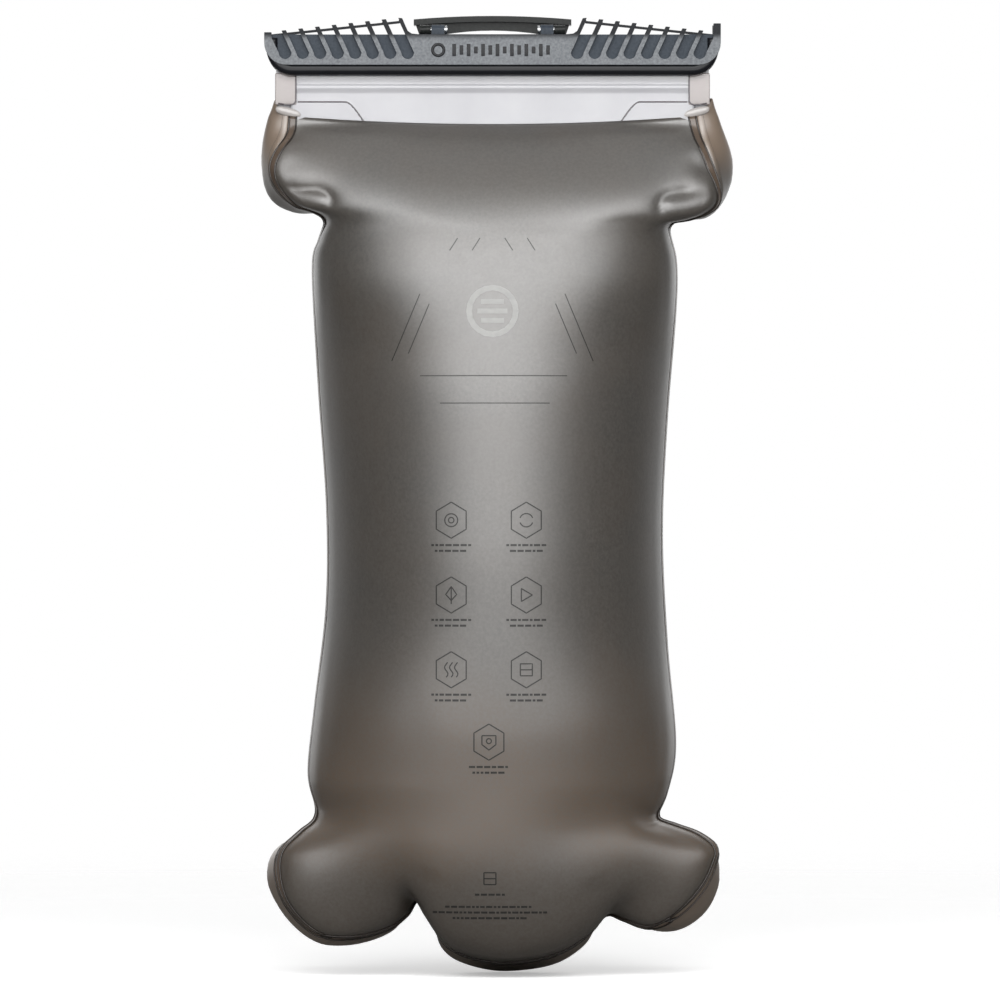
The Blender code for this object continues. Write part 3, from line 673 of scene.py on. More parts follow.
def add_piece(name: str, mesh: bpy.types.Mesh, material: bpy.types.Material, body: Body,
              replaces: Sequence[str] = (), smooth: bool = True) -> bpy.types.Object:
    """Puts a finished mesh in the scene as a named piece of the object.

    Args:
        name: The piece's name.
        mesh: Its mesh, in the frame's metres.
        material: Its finish.
        body: The body that it moves with.
        replaces: The CAD nodes that it stands for.
        smooth: Whether its faces are shaded smooth.

    Returns:
        The new object.
    """
    piece = bpy.data.objects.new(name, mesh)
    bpy.context.scene.collection.objects.link(piece)
    mesh.materials.append(material)
    if smooth:
        mesh.shade_smooth()
    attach(piece, body.value)
    if replaces:
        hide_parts(*replaces)
    log.info("%s: %d faces", name, len(mesh.polygons))
    return piece


def mesh_of(name: str, points: np.ndarray, faces: Iterable[Sequence[int]]) -> bpy.types.Mesh:
    """Makes a mesh with its faces turned outwards.

    Args:
        name: The mesh's name.
        points: Its points as x, y and height in millimetres.
        faces: Its faces, by the places of their points.

    Returns:
        The mesh, in the frame's metres.
    """
    mesh = bpy.data.meshes.new(name)
    mesh.from_pydata(to_frame(points).tolist(), [], list(faces))
    bm = bmesh.new()
    bm.from_mesh(mesh)
    bmesh.ops.recalc_face_normals(bm, faces=bm.faces)
    bm.to_mesh(mesh)
    bm.free()
    return mesh


def sweep(rings: np.ndarray, closed: bool = False) -> tuple[np.ndarray, list[tuple[int, ...]]]:
    """Joins equal rings of points into a tube.

    Args:
        rings: The points, by ring, by place in the ring and by coordinate.
        closed: Whether the last ring joins the first, without caps.

    Returns:
        The points in one list and the faces.
    """
    count, size = rings.shape[:2]
    faces = []
    for k in range(count if closed else count - 1):
        a, b = k * size, (k + 1) % count * size
        faces += [(a + i, a + (i + 1) % size, b + (i + 1) % size, b + i) for i in range(size)]
    if not closed:
        faces.append(tuple(range(size))[::-1])
        faces.append(tuple((count - 1) * size + i for i in range(size)))
    return rings.reshape(-1, 3), faces


def framed_rings(line: np.ndarray, normals: np.ndarray,
                 section: Sequence[tuple[float, float]]) -> np.ndarray:
    """Places a flat section along a line.

    Args:
        line: The line's points.
        normals: The outward direction at each point.
        section: Points of the section, each as (sideways, outwards).

    Returns:
        One ring of points for each point of the line.
    """
    tangent = np.gradient(line, axis=0)
    tangent /= np.linalg.norm(tangent, axis=1, keepdims=True) + 1e-9
    out = normals - (normals * tangent).sum(1, keepdims=True) * tangent
    out /= np.linalg.norm(out, axis=1, keepdims=True) + 1e-9
    across = np.cross(tangent, out)
    return np.stack([line + a * across + b * out for a, b in section], 1)


def ellipse(wide: float, high: float, steps: int = 10) -> list[tuple[float, float]]:
    """Points of an ellipse of the given half sizes."""
    angles = [math.tau * k / steps for k in range(steps)]
    return [(wide * math.cos(a), high * math.sin(a)) for a in angles]


def rounded_box(name: str, low: Sequence[float], high: Sequence[float], radius: float) -> bpy.types.Mesh:
    """A box between two corners with round edges, all in millimetres.

    Args:
        name: The mesh's name.
        low: Its lowest x, y and height.
        high: Its highest x, y and height.
        radius: The radius of its edges.

    Returns:
        The mesh, in the frame's metres.
    """
    low_m, high_m = Vector(to_frame(np.array(low))), Vector(to_frame(np.array(high)))
    bm = bmesh.new()
    bmesh.ops.create_cube(bm, size=1)
    for vert in bm.verts:
        vert.co = Vector(low_m[k] if vert.co[k] < 0 else high_m[k] for k in range(3))
    bmesh.ops.bevel(bm, geom=bm.edges[:], offset=radius * MM, segments=4, affect="EDGES", profile=0.5)
    mesh = bpy.data.meshes.new(name)
    bm.to_mesh(mesh)
    bm.free()
    return mesh


# ---------------------------------------------------------------- the bag


@dataclass
class FilmBag:
    """The filled bag: two films welded along one seam and shaped by a cloth simulation.

    The films are cut flat with straight sides and round lower corners. Welded, gathered
    at the seam's pinches and blown up, they settle into the ears, folds and lobes.
    """

    half_width: float = 97.0
    length: float = 384.0
    corner_radius: float = 42.0
    top_half_width: float = 84.0
    top_height: float = 349.0
    top_dip: float = 3.2
    top_gap: float = 4.6
    edge_reach: float = 14.0
    columns: int = 60
    rows: int = 112
    pressure: float = 5.0
    frames: int = 36
    relax_passes: int = 8
    foot_passes: int = 36
    film_thickness: float = 0.5
    port_height: float = 78.0
    port_patch: float = 22.5
    port_blend: float = 44.0
    port_face: float = 42.6
    port_hole: float = 10.9
    rim_columns: int = 8
    chest_breadth: float = 0.36
    foot_breadth: float = 0.3
    # the weld, from the left end of the neck round the foot to the right end:
    # x, height, y, and how far the back film stands out past it
    seam: SmoothLine = SmoothLine((
        (-82.5, 349.0, -4.0, 7.6), (-83.4, 341.5, -7.0, 11.2), (-88.2, 334.0, -10.0, 8.0),
        (-90.2, 327.5, -11.0, 5.8), (-88.1, 320.5, -11.0, 7.6), (-81.0, 313.0, -9.0, 4.8),
        (-73.0, 310.2, -6.0, 2.0), (-68.3, 306.5, -2.0, 0.0), (-71.0, 299.0, 3.0, 0.0),
        (-73.6, 287.0, 9.0, 0.0), (-71.2, 240.0, 10.0, 0.0), (-67.8, 190.0, 10.0, 0.0),
        (-68.0, 150.0, 10.0, 0.0), (-72.6, 110.0, 9.0, 0.0), (-75.2, 82.0, 4.0, 0.0),
        (-71.8, 65.5, -3.0, 0.0), (-78.8, 58.3, -9.0, 0.5), (-86.0, 51.0, -13.0, 5.0),
        (-87.0, 41.0, -15.0, 7.4), (-83.2, 29.5, -16.0, 6.0), (-72.5, 18.8, -16.0, 6.2),
        (-58.5, 16.0, -15.0, 5.6), (-43.5, 18.8, -10.0, 4.0), (-34.8, 24.2, -6.0, 1.6),
        (-29.6, 31.0, -4.0, 0.0), (-24.4, 21.5, -6.0, 0.0), (-18.0, 12.0, -10.0, 5.4),
        (-4.0, 6.6, -13.0, 6.4), (10.0, 5.8, -14.0, 6.4), (26.0, 9.2, -13.0, 6.6),
        (38.5, 16.6, -9.0, 4.0), (46.0, 24.4, -4.0, 0.0), (53.0, 22.6, -8.0, 0.8),
        (62.0, 19.8, -12.0, 2.6), (71.0, 23.6, -15.0, 8.6), (80.0, 31.0, -15.5, 11.0),
        (86.5, 39.0, -14.0, 8.6), (90.0, 46.5, -12.5, 4.8), (91.0, 52.5, -11.0, 3.4),
        (84.0, 58.0, -8.0, 0.0), (74.0, 61.6, -5.0, 0.0), (67.4, 64.8, -2.0, 0.0),
        (71.3, 74.0, 3.0, 0.0), (74.8, 94.0, 9.0, 0.0), (71.4, 135.0, 10.0, 0.0),
        (69.4, 180.0, 10.0, 0.0), (71.4, 226.0, 10.0, 0.0), (74.9, 270.0, 9.0, 0.0),
        (75.1, 290.0, 6.0, 0.0), (72.3, 304.2, -2.0, 0.0), (79.5, 306.8, -5.0, 1.2),
        (87.0, 309.2, -8.0, 3.4), (92.0, 313.5, -10.0, 5.4), (91.8, 321.0, -11.0, 9.0),
        (88.0, 332.0, -10.0, 12.0), (84.3, 341.0, -7.0, 11.4), (82.5, 349.0, -4.0, 8.6),
    ))
    # sharp folds pressed into the front film: points as x and height, depth and width
    folds: tuple[tuple[tuple[tuple[float, float], ...], float, float], ...] = (
        (((-92.0, 321.5), (-80.0, 319.0), (-70.0, 318.6), (-65.4, 314.5), (-68.0, 304.0)), 2.3, 2.7),
        (((86.0, 319.0), (76.7, 317.5), (70.1, 316.2), (67.6, 312.0), (70.5, 302.0)), 2.2, 2.6),
        (((-88.0, 57.0), (-76.0, 64.0), (-66.0, 68.0), (-50.0, 70.0)), 0.7, 5.0),
        (((84.0, 60.0), (70.0, 66.0), (56.0, 69.0)), 0.7, 5.0),
        (((-30.0, 24.0), (-28.5, 36.0), (-24.0, 46.0)), 0.8, 5.0),
        (((46.0, 20.0), (43.5, 32.0), (38.0, 41.0)), 0.8, 5.0),
    )
    # how far the belly stands out before it settles: height, depth
    belly: tuple[tuple[float, float], ...] = (
        (0, 38), (50, 44), (100, 48), (170, 50), (240, 48), (285, 41),
        (306, 35), (320, 27), (335, 17), (343, 10), (349, 4.6),
    )
    grids: dict[Film, np.ndarray] = field(default_factory=dict)
    pieces: dict[Film, bpy.types.Object] = field(default_factory=dict)

    def flat_edge(self) -> np.ndarray:
        """Draws the cut edge of the flat film, down the left side and up the right.

        Returns:
            The edge's points, as x and height in the flat.
        """
        reach = self.half_width - self.corner_radius
        angles = np.linspace(0, math.pi / 2, 24)
        arc = np.stack([reach + self.corner_radius * np.cos(angles),
                        self.corner_radius * (1 - np.sin(angles))], -1)
        top = np.array([[self.top_half_width, self.length], [self.half_width, self.length - 14]])
        right = np.vstack([top, arc])
        left = right * (-1, 1)
        return np.vstack([left, right[::-1]])

    def edge_shares(self) -> tuple[np.ndarray, np.ndarray, np.ndarray]:
        """Works out where the grid's left, lower and right sides lie along the cut edge.

        Returns:
            The shares of the edge's length for the left side from its foot up, the lower
            side from left to right, and the right side from its foot up.
        """
        quarter = math.pi / 4 * self.corner_radius
        foot = 2 * (self.half_width - self.corner_radius) + 2 * quarter
        total = np.linalg.norm(np.diff(self.flat_edge(), axis=0), axis=1).sum()
        corner = (total - foot) / 2 / total
        v = np.linspace(0, 1, self.rows + 1)
        u = np.linspace(0, 1, self.columns + 1)
        return corner * (1 - v), corner + (1 - 2 * corner) * u, 1 - corner * (1 - v)

    @staticmethod
    def patch(left: np.ndarray, right: np.ndarray, foot: np.ndarray, top: np.ndarray) -> np.ndarray:
        """Fills the space between four edges with a smooth grid.

        Args:
            left: Points of the left edge, from the foot up.
            right: Points of the right edge, from the foot up.
            foot: Points of the lower edge, from left to right.
            top: Points of the upper edge, from left to right.

        Returns:
            The grid's points, by row from the foot and by column from the left.
        """
        v = np.linspace(0, 1, len(left))[:, None, None]
        u = np.linspace(0, 1, len(foot))[None, :, None]
        sides = (1 - u) * left[:, None] + u * right[:, None]
        ends = (1 - v) * foot[None] + v * top[None]
        lower = (1 - u) * (1 - v) * foot[0] + u * (1 - v) * foot[-1]
        upper = (1 - u) * v * top[0] + u * v * top[-1]
        return sides + ends - lower - upper

    def top_edge(self, film: Film) -> np.ndarray:
        """Shapes the film's upper edge, which laps the neck.

        Args:
            film: Which film.

        Returns:
            The edge's points as x, height and y, from left to right.
        """
        u = np.linspace(-1, 1, self.columns + 1)
        end = smoothstep(0.80, 1.0, np.abs(u))
        y = film.value * self.top_gap * (1 - end) + self.seam.points[0][2] * end
        height = self.top_height - self.top_dip * (1 - u * u)
        return np.stack([u * self.seam.points[-1][0], height, y], -1)

    def lay_out(self, film: Film) -> tuple[np.ndarray, np.ndarray]:
        """Lays out one film as a grid, in the bag's shape and in the flat.

        Args:
            film: Which film.

        Returns:
            The shaped points (x, y, height) and the flat points, by row and column.
        """
        left_s, foot_s, right_s = self.edge_shares()
        edge = self.flat_edge()
        flat_top = np.stack([np.linspace(-1, 1, self.columns + 1) * self.top_half_width,
                             np.full(self.columns + 1, self.length)], -1)
        flat = self.patch(along(edge, left_s), along(edge, right_s), along(edge, foot_s), flat_top)
        u = np.linspace(-1, 1, self.columns + 1)
        v = np.linspace(0, 1, self.rows + 1)[:, None]
        top = self.top_edge(film)
        left, right, foot = (self.seam.at(shares)[:, :3] for shares in (left_s, right_s, foot_s))
        shaped = self.patch(left, right, foot, top)
        x, height, weld = shaped[..., 0], shaped[..., 1], shaped[..., 2]
        across = np.sqrt(np.clip(1 - np.abs(u) ** 2.2, 0, 1)) ** 1.25
        rise = np.sqrt(1 - (1 - np.clip(v * self.length / self.corner_radius, 0, 1)) ** 2)
        near_weld = 1 - (1 - np.abs(u) ** 5) * (1 - np.exp(-v * self.length / self.edge_reach))
        neck = np.clip(self.length * (1 - v) / self.edge_reach, 0, 1)
        depth = np.interp(height, *zip(*self.belly)) * across * rise
        y = weld * near_weld * neck + top[:, 2] * (1 - neck) + film.value * depth * neck
        return np.stack([x, y, height], -1), flat

    def shell(self) -> tuple[bpy.types.Object, Index]:
        """Welds the two grids into one shell with its flat shape as a key.

        Returns:
            The object, in units of 100 mm for the solver, and its vertices by place.
        """
        points, flat_points, index = [], [], {}
        for film in Film:
            shaped, flat = self.lay_out(film)
            for j in range(self.rows + 1):
                for i in range(self.columns + 1):
                    on_weld = i in (0, self.columns) or j == 0
                    if on_weld and film is Film.BACK:
                        index[j, i, film] = index[j, i, Film.FRONT]
                        continue
                    index[j, i, film] = len(points)
                    points.append(shaped[j, i] * 0.01)
                    lift = 0.0 if on_weld else film.value * 0.003
                    flat_points.append((flat[j, i, 0] * 0.01, lift, flat[j, i, 1] * 0.01))
        faces = []
        for film in Film:
            for j in range(self.rows):
                for i in range(self.columns):
                    ring = [index[j, i, film], index[j, i + 1, film],
                            index[j + 1, i + 1, film], index[j + 1, i, film]]
                    faces.append(ring if film is Film.FRONT else ring[::-1])
        mesh = bpy.data.meshes.new("bag_shell")
        mesh.from_pydata([tuple(p) for p in points], [], faces)
        shell = bpy.data.objects.new("bag_shell", mesh)
        bpy.context.scene.collection.objects.link(shell)
        shell.shape_key_add(name="filled")
        key = shell.shape_key_add(name="flat")
        for n, p in enumerate(flat_points):
            key.data[n].co = p
        return shell, index

    def blow_up(self, shell: bpy.types.Object, index: Index) -> np.ndarray:
        """Runs the cloth simulation with the weld and the neck held.

        Args:
            shell: The welded shell.
            index: Its vertices by row, column and film.

        Returns:
            The settled points in millimetres.
        """
        held = shell.vertex_groups.new(name="held")
        for (j, i, _film), n in index.items():
            if j in (0, self.rows) or i in (0, self.columns):
                held.add([n], 1.0, "REPLACE")
        cloth = shell.modifiers.new("settle", "CLOTH")
        s = cloth.settings
        s.quality = 8
        s.mass = 0.3
        s.tension_stiffness = s.compression_stiffness = 40
        s.shear_stiffness = 15
        s.bending_stiffness = 2.0
        s.tension_damping = s.compression_damping = s.shear_damping = 10
        s.bending_damping = 2
        s.air_damping = 6
        s.use_pressure = True
        s.uniform_pressure_force = self.pressure
        s.vertex_group_mass = "held"
        s.rest_shape_key = shell.data.shape_keys.key_blocks["flat"]
        s.effector_weights.gravity = 0
        cloth.collision_settings.use_collision = False
        cloth.collision_settings.use_self_collision = False
        cloth.point_cache.frame_start = 1
        cloth.point_cache.frame_end = self.frames
        scene = bpy.context.scene
        scene.frame_start, scene.frame_end = 1, self.frames
        for step in range(1, self.frames + 1):
            scene.frame_set(step)
        graph = bpy.context.evaluated_depsgraph_get()
        settled = bpy.data.meshes.new_from_object(shell.evaluated_get(graph), depsgraph=graph)
        co = np.empty(len(settled.vertices) * 3)
        settled.vertices.foreach_get("co", co)
        bpy.data.meshes.remove(settled)
        scene.frame_set(1)
        return co.reshape(-1, 3) * 100

    def relax(self, grid: np.ndarray) -> np.ndarray:
        """Eases the solver's small ripples out of a film, away from the weld and the neck.

        Args:
            grid: The film's points by row and column.

        Returns:
            The eased points.
        """
        i = np.arange(self.columns + 1)
        j = np.arange(self.rows + 1)
        inward = np.minimum(np.minimum(i, self.columns - i)[None, :], np.minimum(j, self.rows - j)[:, None])
        share = 0.75 * smoothstep(0.0, 7.0, inward.astype(float))
        low = share * smoothstep(100.0, 70.0, grid[..., 2]) * smoothstep(2.0, 12.0, inward.astype(float))
        for weight in [share] * self.relax_passes + [low] * self.foot_passes:
            mean = grid.copy()
            mean[1:-1, 1:-1] = (grid[:-2, 1:-1] + grid[2:, 1:-1] + grid[1:-1, :-2] + grid[1:-1, 2:]) / 4
            grid = grid + weight[..., None] * (mean - grid)
        return grid

    @staticmethod
    def outward(line: np.ndarray) -> np.ndarray:
        """Gives the outward direction in the X-Z plane along the weld.

        Args:
            line: The weld's points as x and height.

        Returns:
            One unit vector for each point.
        """
        step = np.gradient(line, axis=0)
        turned = np.stack([step[:, 1], -step[:, 0]], -1)
        kernel = np.ones(7) / 7
        soft = np.stack([np.convolve(np.pad(turned[:, k], 3, "edge"), kernel, "valid") for k in (0, 1)], -1)
        soft /= np.linalg.norm(soft, axis=1, keepdims=True) + 1e-9
        return soft * np.sign((soft * (line - (0, 180))).sum())

    def rim_index(self) -> np.ndarray:
        """Counts how many rows or columns each place of the grid is from the weld.

        Returns:
            The counts, by row and column.
        """
        i = np.arange(self.columns + 1)
        j = np.arange(self.rows + 1)
        return np.minimum(np.minimum(i, self.columns - i)[None, :], j[:, None])

    def swell_rim(self, grid: np.ndarray) -> np.ndarray:
        """Makes the back film roll out past the weld at the ears and the lobes.

        Args:
            grid: The back film's points.

        Returns:
            The points with the rim swollen.
        """
        weld = np.vstack([grid[::-1, 0], grid[0, 1:-1], grid[:, -1]])
        flat = weld[:, [0, 2]]
        out = self.outward(flat)
        left_s, foot_s, right_s = self.edge_shares()
        reach = self.seam.at(np.concatenate([left_s[::-1], foot_s[1:-1], right_s]))[:, 3]
        away = self.rim_index()
        n = self.rim_columns
        rim = (away > 0) & (away < n)
        spots = grid[rim]
        gap = np.linalg.norm(spots[:, None, [0, 2]] - flat[None], axis=2)
        nearest = gap.argmin(1)
        k = away[rim] / n
        push = out[nearest] * (reach[nearest] * np.sin(np.pi * k) ** 0.8)[:, None]
        share = (smoothstep(0, 3, reach[nearest]) * (1 - k ** 3))[:, None]
        lift = 6.0 * smoothstep(334, 350, flat[nearest, 1]) * np.sin(np.pi * k)
        spots[:, [0, 2]] += (flat[nearest] + push - spots[:, [0, 2]]) * share
        spots[:, 2] += lift
        moved = grid.copy()
        moved[rim] = spots
        for _ in range(2):
            mean = moved.copy()
            mean[1:-1, 1:-1] = (moved[:-2, 1:-1] + moved[2:, 1:-1] + moved[1:-1, :-2] + moved[1:-1, 2:]) / 4
            moved[rim] += 0.5 * (mean - moved)[rim]
        return moved

    def broaden(self, grid: np.ndarray, film: Film) -> np.ndarray:
        """Makes the film broad and flat across, under the straight neck and above the lobes.

        Args:
            grid: The film's points.
            film: Which film.

        Returns:
            The points with the flatter bands.
        """
        u = np.linspace(0, 1, self.columns + 1)
        weld = grid[:, :1, 1] * (1 - u) + grid[:, -1:, 1] * u
        depth = np.maximum(film.value * (grid[..., 1] - weld), 0.0)
        most = depth.max(1, keepdims=True) + 1e-6
        height = grid[..., 2]
        share = smoothstep(250, 285, height) * smoothstep(336, 308, height) * self.chest_breadth
        if film is Film.FRONT:
            share = share + smoothstep(58, 80, height) * smoothstep(150, 100, height) * self.foot_breadth
        broad = most * (depth / most) ** (1 - share)
        grid[..., 1] += film.value * (broad - depth)
        return grid

    def fold(self, grid: np.ndarray) -> np.ndarray:
        """Presses the sharp folds beside the pinches into the front film.

        Args:
            grid: The front film's refined points.

        Returns:
            The points with the folds.
        """
        spots = grid[..., [0, 2]].reshape(-1, 2)
        for line, depth, width in self.folds:
            path = along(SmoothLine(line).dense(), np.linspace(0, 1, 60))
            far = np.linalg.norm(spots[:, None] - path[None], axis=2)
            share = far.argmin(1) / 59
            ends = smoothstep(0, 0.3, share) * smoothstep(1.0, 0.7, share)
            push = depth * ends * np.exp(-np.hypot(far.min(1), 0.3) / width)
            grid[..., 1] += push.reshape(grid.shape[:2])
        return grid

    @staticmethod
    def refine(grid: np.ndarray) -> np.ndarray:
        """Doubles a grid's rows and columns along a smooth surface.

        Args:
            grid: The points or values, by row and column.

        Returns:
            The finer grid.
        """
        for axis in (0, 1):
            rows = np.moveaxis(grid, axis, 0)
            padded = np.concatenate([2 * rows[:1] - rows[1:2], rows, 2 * rows[-1:] - rows[-2:-1]])
            between = (9 * (padded[1:-2] + padded[2:-1]) - padded[:-3] - padded[3:]) / 16
            fine = np.empty((2 * len(rows) - 1, *rows.shape[1:]))
            fine[::2], fine[1::2] = rows, between
            grid = np.moveaxis(fine, 0, axis)
        return grid

    def flatten_port(self, grid: np.ndarray) -> np.ndarray:
        """Seats the back film flat under the port's stiff flange.

        Args:
            grid: The back film's points.

        Returns:
            The points with the flat patch.
        """
        reach = np.hypot(grid[..., 0], grid[..., 2] - self.port_height)
        share = 1 - smoothstep(self.port_patch, self.port_blend, reach)
        share = share * (grid[..., 1] > 10)
        grid[..., 1] += (self.port_face - grid[..., 1]) * share
        return grid

    def mesh(self, film: Film) -> bpy.types.Mesh:
        """Turns one settled grid into a mesh that knows where a single layer shows.

        Args:
            film: Which film.

        Returns:
            The mesh, in the frame's metres.
        """
        grid = self.grids[film]
        tall, wide = grid.shape[:2]
        faces = []
        for j in range(tall - 1):
            for i in range(wide - 1):
                a = j * wide + i
                middle = grid[j:j + 2, i:i + 2].reshape(-1, 3).mean(0)
                at_port = math.hypot(middle[0], middle[2] - self.port_height) < self.port_hole
                if film is Film.BACK and at_port and middle[1] > 10:
                    continue
                ring = (a, a + 1, a + wide + 1, a + wide)
                faces.append(ring if film is Film.FRONT else ring[::-1])
        mesh = bpy.data.meshes.new(f"{film.name.lower()}_film")
        mesh.from_pydata(to_frame(grid.reshape(-1, 3)).tolist(), [], faces)
        layer = mesh.attributes.new("single_layer", "FLOAT", "POINT")
        layer.data.foreach_set("value", self.single_layer(film).ravel())
        bm = bmesh.new()
        bm.from_mesh(mesh)
        bmesh.ops.delete(bm, geom=[v for v in bm.verts if not v.link_faces], context="VERTS")
        bm.to_mesh(mesh)
        bm.free()
        return mesh

    def single_layer(self, film: Film) -> np.ndarray:
        """Gives how much each point of a film shows the single layer, tinted pale with painted light from
        behind.

        Args:
            film: Which film.

        Returns:
            The shares from 0 to 1, by row and column.
        """
        height = self.grids[film][..., 2]
        if film is Film.FRONT:
            return np.zeros(height.shape)
        away = self.refine(self.rim_index().astype(float)[..., None])[..., 0]
        # The rim at the ears and lobes, where the single layer is tinted pale with painted backlight.
        rim = 1 - smoothstep(5.0, 9.0, away)
        ears = smoothstep(303, 316, height) * (0.12 + 0.88 * smoothstep(321, 337, height))
        lobes = smoothstep(64, 52, height) * 0.9
        return rim * (ears + lobes)

    def build(self) -> None:
        """Makes both films and puts them in the scene."""
        shell, index = self.shell()
        co = self.blow_up(shell, index)
        bpy.data.objects.remove(shell)
        material = SmokyFilm().material()
        for film, node in ((Film.FRONT, "front_panel"), (Film.BACK, "back_panel")):
            grid = np.array([[co[index[j, i, film]] for i in range(self.columns + 1)]
                             for j in range(self.rows + 1)])
            grid = self.broaden(self.relax(grid), film)
            if film is Film.BACK:
                grid = self.flatten_port(self.refine(self.swell_rim(grid)))
            else:
                grid = self.fold(self.refine(grid))
            self.grids[film] = grid
            mesh = self.mesh(film)
            piece = add_piece(mesh.name, mesh, material, Body.BAG, [node])
            skin = piece.modifiers.new("film", "SOLIDIFY")
            skin.thickness = self.film_thickness * MM
            skin.offset = -1
            self.pieces[film] = piece

    def beside_weld(self, film: Film, distance: float) -> tuple[np.ndarray, np.ndarray]:
        """Follows a film all round the bag at a distance in from the weld.

        Args:
            film: Which film.
            distance: How far in along the film.

        Returns:
            The points and the film's outward normals there.
        """
        grid = self.grids[film]
        lines = np.concatenate([grid[::-1, :8], grid[:8, 1:-1].transpose(1, 0, 2), grid[:, :-9:-1]])
        steps = np.linalg.norm(np.diff(lines, axis=1), axis=2)
        s = np.concatenate([np.zeros((len(lines), 1)), np.cumsum(steps, axis=1)], axis=1)
        points = np.array([[np.interp(distance, s[n], row[:, k]) for k in range(3)]
                           for n, row in enumerate(lines)])
        ahead = np.array([[np.interp(distance + 1.5, s[n], row[:, k]) for k in range(3)]
                          for n, row in enumerate(lines)])
        normal = np.cross(ahead - points, np.gradient(points, axis=0))
        kernel = np.ones(7) / 7
        padded = np.pad(normal, ((3, 3), (0, 0)), "edge")
        normal = np.stack([np.convolve(padded[:, k], kernel, "valid") for k in range(3)], -1)
        normal /= np.linalg.norm(normal, axis=1, keepdims=True) + 1e-9
        return points, normal * np.sign(normal[:, 1].sum() * film.value)


@dataclass
class WeldSeam:
    """The pressed strip along the bag's edge and the two fine ridges that bound it."""

    bag: FilmBag
    width: float = 2.9
    height: float = 0.34
    ridge: float = 0.36
    waist_share: float = 0.12
    hem: float = 3.4

    def build(self) -> None:
        """Makes the strip and its ridges."""
        stations = np.linspace(0, self.width, 5)
        paths = [self.bag.beside_weld(Film.FRONT, float(d)) for d in stations]
        height = paths[0][0][:, 2]
        bold = self.waist_share + (1 - self.waist_share) * (
            smoothstep(300, 308, height) + smoothstep(72, 64, height))
        lift = (self.height * bold)[:, None]
        upper = [line + lift * normal for line, normal in paths]
        lower = [line - 0.25 * normal for line, normal in paths[::-1]]
        mesh = mesh_of("weld_strip", *sweep(np.stack(upper + lower, 1)))
        add_piece("weld_strip", mesh, WeldedFilm().material(), Body.BAG)
        dark = WeldedFilm("weld_ridge", (0.016, 0.012, 0.010), (0.03, 0.023, 0.018)).material()
        hem = self.bag.beside_weld(Film.BACK, self.hem)
        lobes = self.waist_share + (1 - self.waist_share) * smoothstep(66, 56, height)
        ridges = (("weld_ridge_outer", paths[0], bold), ("weld_ridge_inner", paths[-1], bold),
                  ("weld_hem", hem, lobes))
        for name, (line, normal), share in ridges:
            rings = framed_rings(line + lift * normal, normal, ellipse(self.ridge, self.ridge * 0.8, 8))
            centre = rings.mean(1, keepdims=True)
            rings = centre + (rings - centre) * share[:, None, None]
            add_piece(name, mesh_of(name, *sweep(rings)), dark, Body.BAG)


# ---------------------------------------------------------------- the clear neck


